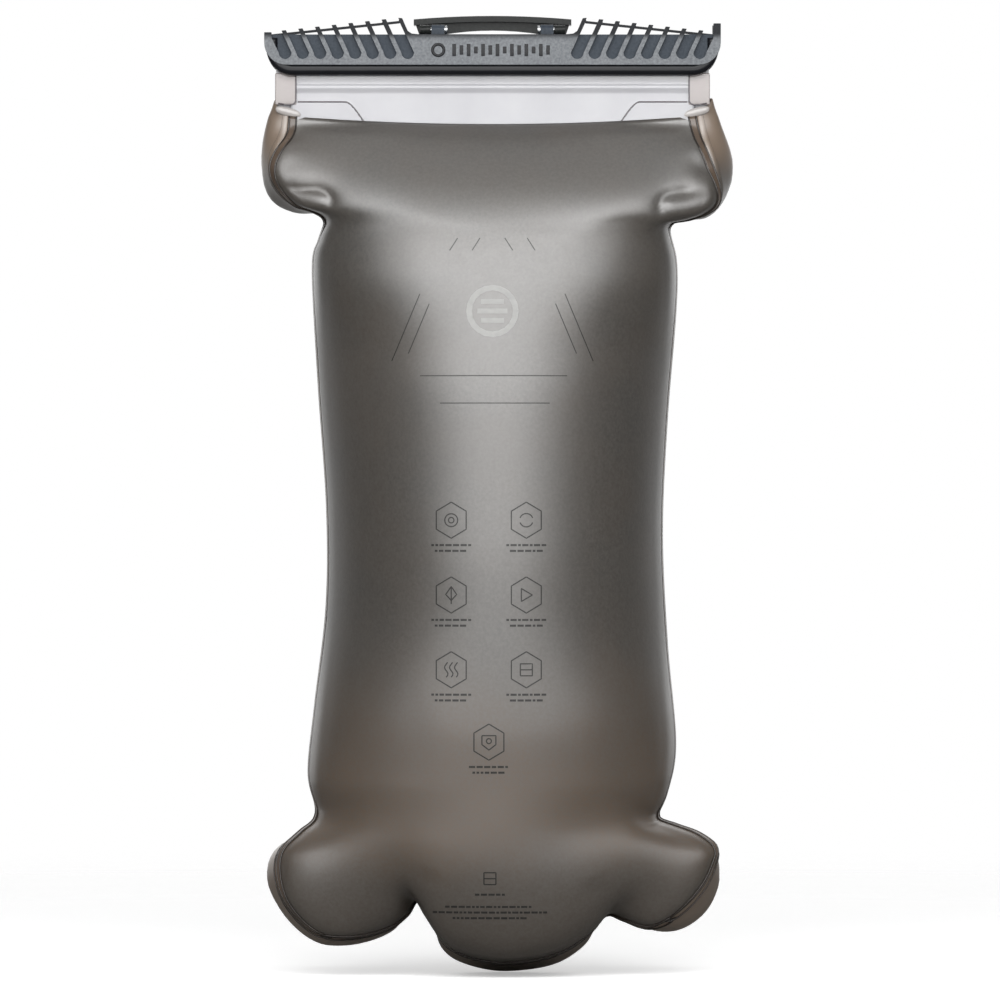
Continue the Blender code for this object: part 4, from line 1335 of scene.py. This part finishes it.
@dataclass
class ClearNeck:
    """The clear lips between the films and the closure, with their thick end pieces."""

    half_length: float = 82.0
    bottom: float = 341.0
    top: float = 379.3
    inner: float = 2.3
    thickness: float = 1.15
    pad: float = 0.75
    pad_height: float = 354.8
    pad_start: float = 47.5
    pad_full: float = 60.0
    step_height: float = 360.6
    line_radii: tuple[float, float] = (0.34, 0.26)
    # half of the end wall's section, as x and y from the lip out to the middle of the fold
    fold_outline: tuple[tuple[float, float], ...] = (
        (82.3, 3.4), (84.5, 3.35), (86.6, 2.9), (87.8, 1.7), (88.1, 0.0),
    )
    fold_wall: float = 1.25
    # how the end wall closes in at its foot: height and share of its section
    fold_taper: tuple[tuple[float, float], ...] = (
        (348.5, 0.3), (349.2, 0.5), (352.0, 1.0), (358.0, 1.0), (366.0, 1.0),
    )
    tab_inner: float = 79.6
    tab_outer: float = 88.3
    tab_bottom: float = 353.6
    tab_top: float = 366.5
    tab_face: float = 4.5
    tab_rounding: float = 0.48
    tab_corner: float = 1.9
    bead_middle: tuple[float, float] = (82.9, 350.7)
    bead_depth: float = 3.6
    bead_half_length: float = 5.2
    bead_half_section: tuple[float, float] = (1.3, 1.95)
    bead_tilt: float = 1.2
    columns: int = 128
    rows: int = 52

    def face_depth(self, x: np.ndarray, height: np.ndarray) -> np.ndarray:
        """Gives the outer face's depth: a thick pad at each end and a step under the rail.

        Args:
            x: Places across the lip.
            height: Heights of the same places.

        Returns:
            The depths from the middle of the mouth.
        """
        share = smoothstep(self.pad_start, self.pad_full, np.abs(x))
        crest = 343.0 + (self.pad_height - 343.0) * share
        pad = self.pad * smoothstep(crest + 0.5, crest - 0.5, height) * (share > 0)
        ridge = 0.9 * np.exp(-((height - self.step_height) / 1.1) ** 2)
        return self.inner + self.thickness + pad + ridge

    def lip(self, film: Film, material: bpy.types.Material) -> None:
        """Makes one lip as a closed sheet with its moulded steps.

        Args:
            film: The side of the bag that the lip is on.
            material: Its clear finish.
        """
        x = np.linspace(-self.half_length, self.half_length, self.columns + 1)
        h = np.linspace(self.bottom, self.top, self.rows + 1)
        gx, gh = np.meshgrid(x, h)
        outer = np.minimum(self.face_depth(gx, gh), 4.2)
        outer = np.where(gh > 364.0, np.minimum(outer, 3.4), outer)
        sheets = [np.stack([gx, film.value * depth, gh], -1)
                  for depth in (outer, np.full_like(outer, self.inner))]
        wide = self.columns + 1
        count = wide * (self.rows + 1)
        faces = []
        for j in range(self.rows):
            for i in range(self.columns):
                a = j * wide + i
                faces.append((a, a + 1, a + wide + 1, a + wide))
                faces.append(tuple(n + count for n in (a, a + wide, a + wide + 1, a + 1)))
        loop = list(range(wide)) + [j * wide + wide - 1 for j in range(1, self.rows + 1)]
        loop += [self.rows * wide + i for i in range(wide - 2, -1, -1)]
        loop += [j * wide for j in range(self.rows - 1, 0, -1)]
        faces += [(b, a, a + count, b + count) for a, b in zip(loop, loop[1:] + loop[:1])]
        name = f"neck_{film.name.lower()}_lip"
        mesh = mesh_of(name, np.concatenate([s.reshape(-1, 3) for s in sheets]), faces)
        node = f"mouth_{film.name.lower()}_strip"
        add_piece(name, mesh, material, Body.BAG, [node])

    def moulded_line(self, film: Film, side: Side, material: bpy.types.Material) -> None:
        """Draws the fine raised edge of the end pad, which drops in an S to the film.

        Args:
            film: The side of the bag that the line is on.
            side: The end of the neck.
            material: Its finish.
        """
        x = np.linspace(self.pad_start - 2, 79.0, 48)
        height = 343.0 + (self.pad_height - 343.0) * smoothstep(self.pad_start, self.pad_full, x)
        depth = film.value * (self.inner + self.thickness + self.pad * 0.6)
        line = np.stack([side.value * x, np.full_like(x, depth), height], -1)
        normals = np.tile((0.0, float(film.value), 0.0), (len(line), 1))
        name = f"neck_line_{film.name.lower()}_{side.name.lower()}"
        rings = framed_rings(line, normals, ellipse(*self.line_radii, 8))
        add_piece(name, mesh_of(name, *sweep(rings)), material, Body.BAG)

    def end_fold(self, side: Side, material: bpy.types.Material) -> None:
        """Makes the folded wall that joins the two lips at one end of the neck.

        Args:
            side: The end of the neck.
            material: Its clear finish.
        """
        outer = self.fold_outline + tuple((x, -y) for x, y in self.fold_outline[-2::-1])
        inner = [(x - self.fold_wall if x > 83 else x, y * 0.66) for x, y in outer][::-1]
        ring = np.array([*outer, *inner])
        root = self.fold_outline[0][0]
        rings = []
        for height, scale in (*self.fold_taper, (self.top, 1.0)):
            rings.append([(side.value * (root + (x - root) * scale), y * scale, height) for x, y in ring])
        tag = side.name.lower()
        name = f"neck_end_{tag}"
        mesh = mesh_of(name, *sweep(np.array(rings)))
        add_piece(name, mesh, material, Body.BAG, [f"mouth_{tag}_gusset"])

    def tab(self, film: Film, side: Side, rosy: bpy.types.Material, line: bpy.types.Material) -> None:
        """Makes one rosy tab and the raised edge round its inner lower corner.

        Args:
            film: The side of the bag that the tab is on.
            side: The end of the neck.
            rosy: The tab's finish.
            line: The finish of its edge.
        """
        place = f"{film.name.lower()}_{side.name.lower()}"
        front, s = film.value, side.value
        low, high = sorted((s * self.tab_inner, s * self.tab_outer))
        near, far = sorted((front * (self.tab_face - 1.0), front * self.tab_face))
        tab = rounded_box(f"neck_tab_{place}", (low, near, self.tab_bottom), (high, far, self.tab_top),
                          self.tab_rounding)
        add_piece(tab.name, tab, rosy, Body.BAG)
        x, foot, corner = self.tab_inner + 0.3, self.tab_bottom + 0.1, self.tab_corner
        arc = [(x + corner - corner * math.cos(a), foot + corner - corner * math.sin(a))
               for a in np.linspace(0, math.pi / 2, 8)]
        upright = [(x, h) for h in np.linspace(self.tab_top - 0.5, 356.5, 8)]
        path = upright + arc + [(84.0, foot), (87.0, foot + 0.5)]
        points = np.array([(s * a, front * self.tab_face, h) for a, h in path])
        normals = np.tile((0.0, float(front), 0.0), (len(points), 1))
        name = f"neck_tab_edge_{place}"
        rings = framed_rings(points, normals, ellipse(0.3, 0.22, 8))
        add_piece(name, mesh_of(name, *sweep(rings)), line, Body.BAG)

    def bead(self, film: Film, side: Side, material: bpy.types.Material) -> None:
        """Makes the gathered bead under a tab, pale with a painted highlight.

        Args:
            film: The side of the bag that the bead is on.
            side: The end of the neck.
            material: Its finish.
        """
        x, height = self.bead_middle
        deep, tall = self.bead_half_section
        u = np.linspace(0.05, math.pi - 0.05, 12)
        centre = np.stack([side.value * (x + self.bead_half_length * np.cos(u)),
                           np.full_like(u, film.value * self.bead_depth),
                           height + self.bead_tilt * np.cos(u)], -1)
        round_angles = np.linspace(0, math.tau, 12, endpoint=False)
        rings = []
        for middle, share in zip(centre, np.sin(u) ** 0.6):
            ring = [(0, deep * share * math.cos(t) * film.value, tall * share * math.sin(t))
                    for t in round_angles]
            rings.append(middle + np.array(ring))
        name = f"neck_bead_{film.name.lower()}_{side.name.lower()}"
        add_piece(name, mesh_of(name, *sweep(np.array(rings))), material, Body.BAG)

    def build(self) -> None:
        """Makes the lips, their moulded lines, the end pieces and the rails' finish."""
        clear = ClearPlastic("clear_neck", (0.53, 0.53, 0.553), (0.44, 0.44, 0.466), 0.61).material()
        rosy = ClearPlastic("rosy_clear", (0.40, 0.362, 0.352), (0.33, 0.294, 0.285), 0.72).material()
        line = ClearPlastic("moulded_edge", (0.12, 0.105, 0.115), (0.08, 0.07, 0.075), 0.85).material()
        # The beads' pale finish is a painted highlight on the gathered clear film.
        bright = ClearPlastic("painted_highlight_bead", (0.50, 0.475, 0.46), (0.36, 0.335, 0.32), 0.80).material()
        for film in Film:
            self.lip(film, clear)
            for side in Side:
                self.moulded_line(film, side, line)
        for side in Side:
            self.end_fold(side, clear)
            for film in Film:
                self.tab(film, side, rosy, line)
                self.bead(film, side, bright)
        dress_node("front_rail", clear, 0.0)
        dress_node("back_rail", clear, 0.0)


def dress_node(node: str, material: bpy.types.Material, rounding: float) -> bpy.types.Object:
    """Gives a CAD node its finish and, where it has sharp edges, small round ones.

    Args:
        node: The node's name.
        material: Its finish.
        rounding: The radius of its edges in millimetres, or 0 to leave them.

    Returns:
        The node's object.
    """
    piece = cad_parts[node]
    while piece.material_slots and len(piece.data.materials) > 1:
        piece.data.materials.pop()
    if piece.data.materials:
        piece.data.materials[0] = material
    else:
        piece.data.materials.append(material)
    if rounding:
        weld = piece.modifiers.new("join", "WELD")
        weld.merge_threshold = 0.000005
        bevel = piece.modifiers.new("rounding", "BEVEL")
        bevel.width = rounding * MM
        bevel.segments = 3
        bevel.limit_method = "ANGLE"
        bevel.angle_limit = math.radians(38)
        bevel.use_clamp_overlap = True
        shading = piece.modifiers.new("shading", "WEIGHTED_NORMAL")
        shading.keep_sharp = False
    log.info("%s: %s", node, material.name)
    return piece


# ---------------------------------------------------------------- the closure


@dataclass
class CombSlider:
    """The slide-off closure: dark channel, blue-grey comb covers and a rounded lip."""

    half_length: float = 91.7
    lip_low: float = 365.5
    lip_high: float = 370.0
    corner: float = 10.6
    lip_depth: float = 1.75
    face: float = 7.32
    badge_half: float = 24.0
    badge_height: float = 375.6
    badge_root: float = 9.4
    badge_ring: float = 2.3
    ring_radii: tuple[float, float] = (0.62, 0.2)
    bars: int = 14
    bar_half: float = 0.75
    bar_heights: tuple[float, ...] = (2.5, 1.9, 2.5, 1.4)

    def lip_path(self) -> np.ndarray:
        """Draws the middle line of the lip, up round both lower corners of the channel.

        Returns:
            The line's points, as x and height.
        """
        middle = (self.lip_low + self.lip_high) / 2
        radius = self.corner - (self.lip_high - self.lip_low) / 2
        x, height = self.half_length - self.corner, self.lip_low + self.corner
        quarter = np.linspace(0, math.pi / 2, 14)
        right = [(x + radius * math.sin(a), height - radius * math.cos(a)) for a in quarter]
        right += [(x + radius, height + rise) for rise in (1.5, 3.0, 4.5)]
        left = [(-a, b) for a, b in right[::-1]]
        straight = [(float(a), middle) for a in np.linspace(-x, x, 40)[1:-1]]
        return np.array(left + straight + right)

    def build(self) -> None:
        """Dresses the CAD parts and adds the lips and the plain badges."""
        # The covers go dark above the roof, over the rib tips, as painted shade.
        slate = MouldedPlastic("slate_plastic", (0.142, 0.151, 0.161), (0.108, 0.116, 0.126),
                               (0.33, 0.345, 0.36), painted_shade_above=382.0).material()
        channel = MouldedPlastic("channel_plastic", (0.036, 0.044, 0.055), (0.027, 0.034, 0.044),
                                 (0.07, 0.083, 0.10)).material()
        black = MouldedPlastic("lip_plastic", (0.006, 0.0065, 0.0085), (0.004, 0.0045, 0.006),
                               (0.016, 0.017, 0.02), roughness=(0.20, 0.26), grain_strength=0.02,
                               shine=0.2, speckle=0.1).material()
        dress_node("slider_front_cover", slate, 0.28)
        dress_node("slider_back_cover", slate, 0.28)
        dress_node("slider_channel", channel, 0.0)
        path = self.lip_path()
        half = (self.lip_high - self.lip_low) / 2
        for film in Film:
            line = np.stack([path[:, 0], np.full(len(path), film.value * self.face), path[:, 1]], -1)
            normals = np.tile((0.0, float(film.value), 0.0), (len(line), 1))
            section = [(half * math.cos(a), self.lip_depth * math.sin(a) ** 0.7)
                       for a in np.linspace(0, math.pi, 11)]
            section += [(-half, -0.2), (half, -0.2)]
            name = f"slider_lip_{film.name.lower()}"
            add_piece(name, mesh_of(name, *sweep(framed_rings(line, normals, section))), black,
                      Body.SLIDER)
            self.badge(film, black)
        steel = SpringSteel().material()
        for node in ("handle_pin_left", "handle_pin_right"):
            dress_node(node, steel, 0.0)

    def badge(self, film: Film, material: bpy.types.Material) -> None:
        """Adds a plain ring and a row of slim grip bars to the middle of a cover.

        Args:
            film: The side that the cover is on.
            material: Their finish.
        """
        front, tag = film.value, film.name.lower()
        angles = np.linspace(0, math.tau, 33)[:-1]
        ring = np.stack([-self.badge_half + 2.0 + self.badge_ring * np.cos(angles),
                         np.full(32, front * self.badge_root),
                         self.badge_height + self.badge_ring * np.sin(angles)], -1)
        around = np.vstack([ring[-1:], ring, ring[:1]])
        facing = np.tile((0.0, float(front), 0.0), (len(around), 1))
        rings = framed_rings(around, facing, ellipse(*self.ring_radii, 8))[1:-1]
        name = f"grip_ring_{tag}"
        add_piece(name, mesh_of(name, *sweep(rings, closed=True)), material, Body.SLIDER)
        near, far = sorted((front * (self.badge_root + 0.15), front * (self.badge_root - 0.2)))
        start = -self.badge_half + 7.0
        pitch = (self.badge_half - start) / self.bars
        for k in range(self.bars):
            middle = start + pitch * (k + 0.5)
            tall = self.bar_heights[k % len(self.bar_heights)]
            name = f"grip_bar_{tag}_{k + 1}"
            mesh = rounded_box(name, (middle - self.bar_half, near, self.badge_height - tall),
                               (middle + self.bar_half, far, self.badge_height + tall), 0.14)
            add_piece(name, mesh, material, Body.SLIDER)


@dataclass
class CarryHandle:
    """The folding handle."""

    rounding: float = 0.32

    def build(self) -> None:
        """Dresses the handle."""
        olive = MouldedPlastic("handle_plastic", (0.013, 0.0145, 0.014), (0.009, 0.010, 0.0095),
                               (0.055, 0.058, 0.055), roughness=(0.20, 0.30), grain_strength=0.06,
                               shine=0.14, speckle=0.15).material()
        dress_node("handle", olive, self.rounding)


@dataclass(frozen=True)
class CoilSpring:
    """A coil of round wire inside the port.

    Its axis is 1 along Y or 2 along Z, its wire is given by radius, its travel (how far its joint would
    shorten it) is not used, and its steps are the straight pieces in one turn.
    """

    node: str
    joint: str
    axis: int
    turns: int
    wire: float
    travel: float
    steps: int = 28

    def build(self, material: bpy.types.Material) -> None:
        """Winds the coil in the place of its CAD node.

        Args:
            material: Its finish.
        """
        low, high = (np.array(corner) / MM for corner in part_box(self.node))
        across = [k for k in range(3) if k != self.axis]
        length = float((high - low)[self.axis])
        radius = (high - low)[across].max() / 2 - self.wire
        turned = np.linspace(0, math.tau * self.turns, self.turns * self.steps + 1)
        normals = np.zeros((len(turned), 3))
        normals[:, across] = np.stack([np.cos(turned), np.sin(turned)], -1)
        line = (low + high) / 2 + radius * normals
        line[:, self.axis] = low[self.axis] + self.wire + (length - 2 * self.wire) * turned / turned[-1]
        line[:, 2] -= BAG_FOOT / MM
        name = f"{self.node}_coil"
        rings = framed_rings(line, normals, ellipse(self.wire, self.wire, 10))
        piece = add_piece(name, mesh_of(name, *sweep(rings)), material, Body.BAG, [self.node])
        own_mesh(piece)


@dataclass
class HosePort:
    """The port low on the back: flange, housing, latch and the valve inside."""

    springs: tuple[CoilSpring, ...] = (
        CoilSpring("valve_spring", "valve_poppet_slide", axis=1, turns=4, wire=0.30, travel=2.5),
        CoilSpring("button_spring", "latch_slide", axis=2, turns=5, wire=0.18, travel=1.8),
    )

    def build(self) -> None:
        """Dresses every part of the port."""
        port = MouldedPlastic("port_plastic", (0.040, 0.043, 0.048), (0.032, 0.034, 0.038),
                              (0.12, 0.125, 0.135)).material()
        button = MouldedPlastic("button_plastic", (0.185, 0.200, 0.218), (0.160, 0.172, 0.190),
                                (0.33, 0.35, 0.37)).material()
        valve = MouldedPlastic("valve_plastic", (0.60, 0.60, 0.58), (0.54, 0.54, 0.52),
                               (0.75, 0.75, 0.73), grain_strength=0.2).material()
        rubber, steel = SealRubber().material(), SpringSteel("spring_steel").material()
        dress_node("port_flange", port, 0.0)
        dress_node("port_housing", port, 0.0)
        dress_node("release_button", button, 0.25)
        for node in ("valve_poppet", "valve_retainer"):
            dress_node(node, valve, 0.0)
        for node in ("port_o_ring", "poppet_seal"):
            dress_node(node, rubber, 0.0)
        for spring in self.springs:
            spring.build(steel)


# ---------------------------------------------------------------- the print


@dataclass(frozen=True)
class Stroke:
    """One line of the print: points as x and height, and the line's width."""

    points: tuple[tuple[float, float], ...]
    width: float
    closed: bool = False


class Glyph(Enum):
    """The plain signs inside the hexagon frames."""

    RING = "ring"
    SWAP = "swap"
    LEAF = "leaf"
    WEDGE = "wedge"
    WAVES = "waves"
    GRID = "grid"
    SHIELD = "shield"


@dataclass
class PrintedMarks:
    """The plain printed marks on the front film, drawn as thin ink on its surface."""

    bag: FilmBag
    hexagon_width: float = 12.0
    hexagon_height: float = 14.5
    line: float = 0.5
    ink_height: float = 0.06
    step: float = 1.2
    dark: list[Stroke] = field(default_factory=list)
    light: list[Stroke] = field(default_factory=list)

    @staticmethod
    def circle(x: float, height: float, radius: float, start: float = 0, end: float = 360) -> tuple:
        """Draws an arc.

        Args:
            x: The middle of the circle.
            height: The height of its middle.
            radius: Its radius.
            start: Where the arc starts, in degrees.
            end: Where it ends.

        Returns:
            The arc's points, as x and height.
        """
        count = max(6, int(abs(end - start) / 18))
        angles = [math.radians(start + (end - start) * k / count) for k in range(count + 1)]
        return tuple((x + radius * math.cos(a), height + radius * math.sin(a)) for a in angles)

    def hexagon(self, x: float, height: float) -> None:
        """Draws a hexagon frame that stands on a point.

        Args:
            x: The middle of the frame.
            height: The height of its middle.
        """
        w, h = self.hexagon_width / 2, self.hexagon_height / 2
        corners = [(0, h), (w, h * 0.5), (w, -h * 0.5), (0, -h), (-w, -h * 0.5), (-w, h * 0.5)]
        self.dark.append(Stroke(tuple((x + a, height + b) for a, b in corners), self.line, True))

    def glyph(self, sign: Glyph, x: float, height: float) -> None:
        """Draws one sign about a point.

        Args:
            sign: Which sign.
            x: The middle of the frame.
            height: The height of its middle.
        """
        def put(points: Iterable[tuple[float, float]], closed: bool = False) -> None:
            """Adds a stroke about the frame's middle."""
            self.dark.append(Stroke(tuple((x + a, height + b) for a, b in points), self.line, closed))

        if sign is Glyph.RING:
            put(self.circle(0, 0, 2.6))
            put(self.circle(0, 0, 1.1))
        elif sign is Glyph.SWAP:
            put(self.circle(0, 0, 2.7, 20, 160))
            put(self.circle(0, 0, 2.7, 200, 340))
        elif sign is Glyph.LEAF:
            put([(0, -3.6), (0, 3.4)])
            put([(0, -2.2), (2.2, 0.2), (0, 3.4), (-2.2, 0.2)], True)
        elif sign is Glyph.WEDGE:
            put([(-2.0, -2.6), (2.4, 0), (-2.0, 2.6)], True)
        elif sign is Glyph.WAVES:
            for shift in (-2.0, 0.0, 2.0):
                put([(shift + 0.7 * math.sin(k * 0.9), -3.0 + 0.75 * k) for k in range(9)])
        elif sign is Glyph.GRID:
            put([(-2.4, -2.4), (2.4, -2.4), (2.4, 2.4), (-2.4, 2.4)], True)
            put([(-2.4, 0), (2.4, 0)])
        else:
            put([(-2.8, 2.6), (2.8, 2.6), (2.8, -1.0), (0, -3.2), (-2.8, -1.0)], True)
            put(self.circle(0, 0.4, 1.0))

    def caption(self, x: float, height: float, rows: Sequence[float]) -> None:
        """Puts plain bars where small print would stand.

        Args:
            x: The middle of the bars.
            height: The height of the first bar.
            rows: The half length of each bar.
        """
        for k, half in enumerate(rows):
            level = height - 2.3 * k
            start = x - half
            while start < x + half - 1.0:
                run = min(1.1 + 0.7 * ((int(abs(start) * 7) + k) % 3), x + half - start)
                self.dark.append(Stroke(((start, level), (start + run, level)), 0.85))
                start += run + 0.55

    def draw(self) -> None:
        """Lays out every mark."""
        cells = ((-16.5, 185.0, Glyph.RING), (13.6, 185.0, Glyph.SWAP), (-16.5, 155.0, Glyph.LEAF),
                 (13.6, 155.0, Glyph.WEDGE), (-16.5, 125.0, Glyph.WAVES), (13.6, 125.0, Glyph.GRID),
                 (-1.4, 96.0, Glyph.SHIELD))
        for x, height, sign in cells:
            self.hexagon(x, height)
            self.glyph(sign, x, height)
            self.caption(x, height - 10.0, (8.0, 6.6))
        self.glyph(Glyph.GRID, -1.0, 41.0)
        self.caption(-1.0, 34.5, (6.0,))
        self.caption(-1.0, 29.5, (18.0, 23.0, 15.0))
        for height, left, right in ((243.0, -29.0, 30.0), (232.0, -21.0, 23.0)):
            self.dark.append(Stroke(((left, height), (right, height)), 0.38))
        for side in (-1, 1):
            for inset, low, high in ((0.0, 249.0, 276.0), (4.2, 252.0, 272.0)):
                foot = (side * (40.5 - inset * 1.6), low)
                head = (side * (40.5 - inset * 1.6 - (high - low) * 0.42), high)
                self.dark.append(Stroke((foot, head), 0.34))
            for k in range(2):
                x = side * (5.0 + 9.0 * k)
                self.dark.append(Stroke(((x, 298.5), (x + side * 3.2, 293.5)), 0.34))
        self.light.append(Stroke(self.circle(0, 269.0, 9.4), 2.2))
        for level, half in ((272.8, 4.6), (269.0, 6.0), (265.2, 4.6)):
            self.light.append(Stroke(((-half, level), (half, level)), 1.9))

    def ribbon(self, stroke: Stroke, tree: BVHTree) -> tuple[np.ndarray, list[tuple[int, ...]]]:
        """Lays one stroke on the film as a thin closed ribbon of ink.

        Args:
            stroke: The line.
            tree: The film's surface.

        Returns:
            The ribbon's points, in millimetres, and its faces.
        """
        points = np.array(stroke.points + (stroke.points[:1] if stroke.closed else ()), float)
        steps = np.linalg.norm(np.diff(points, axis=0), axis=1)
        count = max(2, int(steps.sum() / self.step))
        corners = np.cumsum(steps)[:-1] / steps.sum()
        shares = np.unique(np.concatenate([np.linspace(0, 1, count + 1), corners]))
        flat = along(points, shares)
        ahead = np.gradient(flat, axis=0)
        ahead /= np.linalg.norm(ahead, axis=1, keepdims=True)
        across = np.stack([-ahead[:, 1], ahead[:, 0]], -1) * stroke.width / 2
        rings = []
        for spot, half in zip(flat, across):
            upper = [self.on_film(tree, spot + half * k) for k in (-1, 0, 1)]
            lower = [hit - 2 * lift for hit, lift in upper[::-1]]
            rings.append([hit + lift for hit, lift in upper] + lower)
        return sweep(np.array(rings))

    def on_film(self, tree: BVHTree, spot: np.ndarray) -> tuple[np.ndarray, np.ndarray]:
        """Finds a point of the print on the film.

        Args:
            tree: The film's surface.
            spot: Its x and height.

        Returns:
            The point on the film and the ink's lift above it, both in millimetres.
        """
        start = Vector((spot[0] * MM, -0.2, at_height(spot[1])))
        hit, normal, _face, _far = tree.ray_cast(start, Vector((0, 1, 0)))
        lift = np.array(normal) * self.ink_height * (1 if normal.y < 0 else -1)
        return np.array((hit.x / MM, hit.y / MM, (hit.z - BAG_FOOT) / MM)), lift

    def build(self) -> None:
        """Makes the dark and the light print."""
        self.draw()
        bpy.context.view_layer.update()
        film = self.bag.pieces[Film.FRONT]
        tree = BVHTree.FromObject(film, bpy.context.evaluated_depsgraph_get())
        dark = PrintInk("dark_ink", (0.012, 0.0115, 0.011), (0.022, 0.021, 0.019))
        light = PrintInk("light_ink", (0.30, 0.30, 0.29), (0.262, 0.262, 0.255))
        for name, strokes, ink in (("print_dark", self.dark, dark), ("print_light", self.light, light)):
            points, faces = [], []
            for stroke in strokes:
                ribbon, quads = self.ribbon(stroke, tree)
                base = sum(len(p) for p in points)
                points.append(ribbon)
                faces += [tuple(n + base for n in quad) for quad in quads]
            mesh = mesh_of(name, np.vstack(points), faces)
            add_piece(name, mesh, ink.material(), Body.BAG, smooth=False)


# ---------------------------------------------------------------- the studio


@dataclass
class Studio:
    """The pale floor, the soft lights and the camera. Lengths here are in metres."""

    distance: float = 3.6
    view_width: float = 0.4066
    centre_x: float = 0.00305
    centre_height: float = 193.1
    floor_radius: float = 2.4
    floor_fade: tuple[float, float] = (0.40, 1.3)
    backdrop_light: tuple[float, float] = (0.12, 0.85)

    def build(self) -> None:
        """Places the floor, the lights, the world and the camera."""
        bpy.context.scene.view_settings.view_transform = "Standard"
        self.floor()
        self.world()
        self.softbox("front_light", (0.0, -1.3, 0.29), 1.3, 1.2, 12.8)
        self.softbox("wide_light", (0.0, -1.31, 0.34), 2.7, 1.25, 19)
        self.softbox("upper_light", (0.0, -1.15, 0.74), 2.8, 0.55, 9)
        self.softbox("top_light", (0.0, 0.0, 1.9), 1.7, 1.7, 6.5)
        self.softbox("back_light", (0.0, 2.2, 0.5), 2.4, 1.6, 10)
        self.camera()

    def floor(self) -> None:
        """Lays a white floor that fades into the pale backdrop."""
        bm = bmesh.new()
        bmesh.ops.create_circle(bm, cap_ends=True, segments=96, radius=self.floor_radius)
        mesh = bpy.data.meshes.new("floor")
        bm.to_mesh(mesh)
        bm.free()
        floor = bpy.data.objects.new("floor", mesh)
        floor.location.z = BAG_FOOT
        bpy.context.scene.collection.objects.link(floor)
        f = Finish("pale_floor")
        f.set(Roughness=0.9, Specular_IOR_Level=0.0, Emission_Strength=0.33)
        seen = f.tree.nodes.new("ShaderNodeLightPath").outputs["Is Camera Ray"]
        f.feed("Base Color", f.mix(seen, (0.20, 0.19, 0.18), (1.0, 1.0, 1.0)))
        f.feed("Emission Color", f.mix(seen, (0.0, 0.0, 0.0), (1.0, 1.0, 1.0)))
        geometry = f.tree.nodes.new("ShaderNodeTexCoord")
        distance = f.tree.nodes.new("ShaderNodeVectorMath")
        distance.operation = "LENGTH"
        f.tree.links.new(geometry.outputs["Object"], distance.inputs[0])
        fade = f.tree.nodes.new("ShaderNodeMapRange")
        fade.interpolation_type = "SMOOTHSTEP"
        near, far = self.floor_fade
        for socket, value in (("From Min", near), ("From Max", far), ("To Min", 1.0), ("To Max", 0.0)):
            fade.inputs[socket].default_value = value
        f.tree.links.new(distance.outputs["Value"], fade.inputs["Value"])
        f.feed("Alpha", fade.outputs[0])
        mesh.materials.append(f.material)

    def world(self) -> None:
        """Makes the backdrop white to look at, and the light from it dim but for behind."""
        world = bpy.data.worlds.new("studio")
        bpy.context.scene.world = world
        world.use_nodes = True
        tree = world.node_tree
        lit = tree.nodes["Background"]
        where = tree.nodes.new("ShaderNodeTexCoord")
        split = tree.nodes.new("ShaderNodeSeparateXYZ")
        tree.links.new(where.outputs["Generated"], split.inputs[0])
        ramp = tree.nodes.new("ShaderNodeMapRange")
        ramp.interpolation_type = "SMOOTHSTEP"
        near, far = self.backdrop_light
        for socket, value in (("From Min", 0.35), ("From Max", 0.95), ("To Min", near), ("To Max", far)):
            ramp.inputs[socket].default_value = value
        tree.links.new(split.outputs["Y"], ramp.inputs["Value"])
        tree.links.new(ramp.outputs[0], lit.inputs["Strength"])
        lit.inputs["Color"].default_value = (1, 1, 1, 1)
        seen = tree.nodes.new("ShaderNodeBackground")
        seen.inputs["Color"].default_value = (1, 1, 1, 1)
        mix = tree.nodes.new("ShaderNodeMixShader")
        rays = tree.nodes.new("ShaderNodeLightPath")
        tree.links.new(rays.outputs["Is Camera Ray"], mix.inputs[0])
        tree.links.new(lit.outputs[0], mix.inputs[1])
        tree.links.new(seen.outputs[0], mix.inputs[2])
        tree.links.new(mix.outputs[0], tree.nodes["World Output"].inputs["Surface"])

    def softbox(self, name: str, place: tuple[float, float, float], wide: float, high: float,
                watts: float) -> None:
        """Hangs a rectangular light that faces the bag's middle.

        Args:
            name: The light's name.
            place: Where it hangs.
            wide: Its width.
            high: Its height.
            watts: Its power.
        """
        light = bpy.data.lights.new(name, "AREA")
        light.shape = "RECTANGLE"
        light.size, light.size_y, light.energy = wide, high, watts
        lamp = bpy.data.objects.new(name, light)
        lamp.location = place
        aim = Vector((0, 0, at_height(190))) - Vector(place)
        lamp.rotation_euler = aim.to_track_quat("-Z", "Y").to_euler()
        lamp.visible_camera = False
        bpy.context.scene.collection.objects.link(lamp)

    def camera(self) -> None:
        """Sets the camera level with the bag's middle, far off behind a long lens."""
        camera = bpy.data.cameras.new("camera")
        camera.lens = camera.sensor_width * self.distance / self.view_width
        camera.clip_end = 50
        seat = bpy.data.objects.new("camera", camera)
        seat.location = (self.centre_x, -self.distance, at_height(self.centre_height))
        seat.rotation_euler = (math.pi / 2, 0, 0)
        bpy.context.scene.collection.objects.link(seat)
        bpy.context.scene.camera = seat


def main() -> None:
    """Builds every sub-assembly in order."""
    logging.basicConfig(level=logging.INFO, format="%(message)s")
    bag = FilmBag()
    bag.build()
    for part in (WeldSeam(bag), ClearNeck(), CombSlider(), CarryHandle(), HosePort(), PrintedMarks(bag),
                 Studio()):
        part.build()


if __name__ == "__main__":
    main()
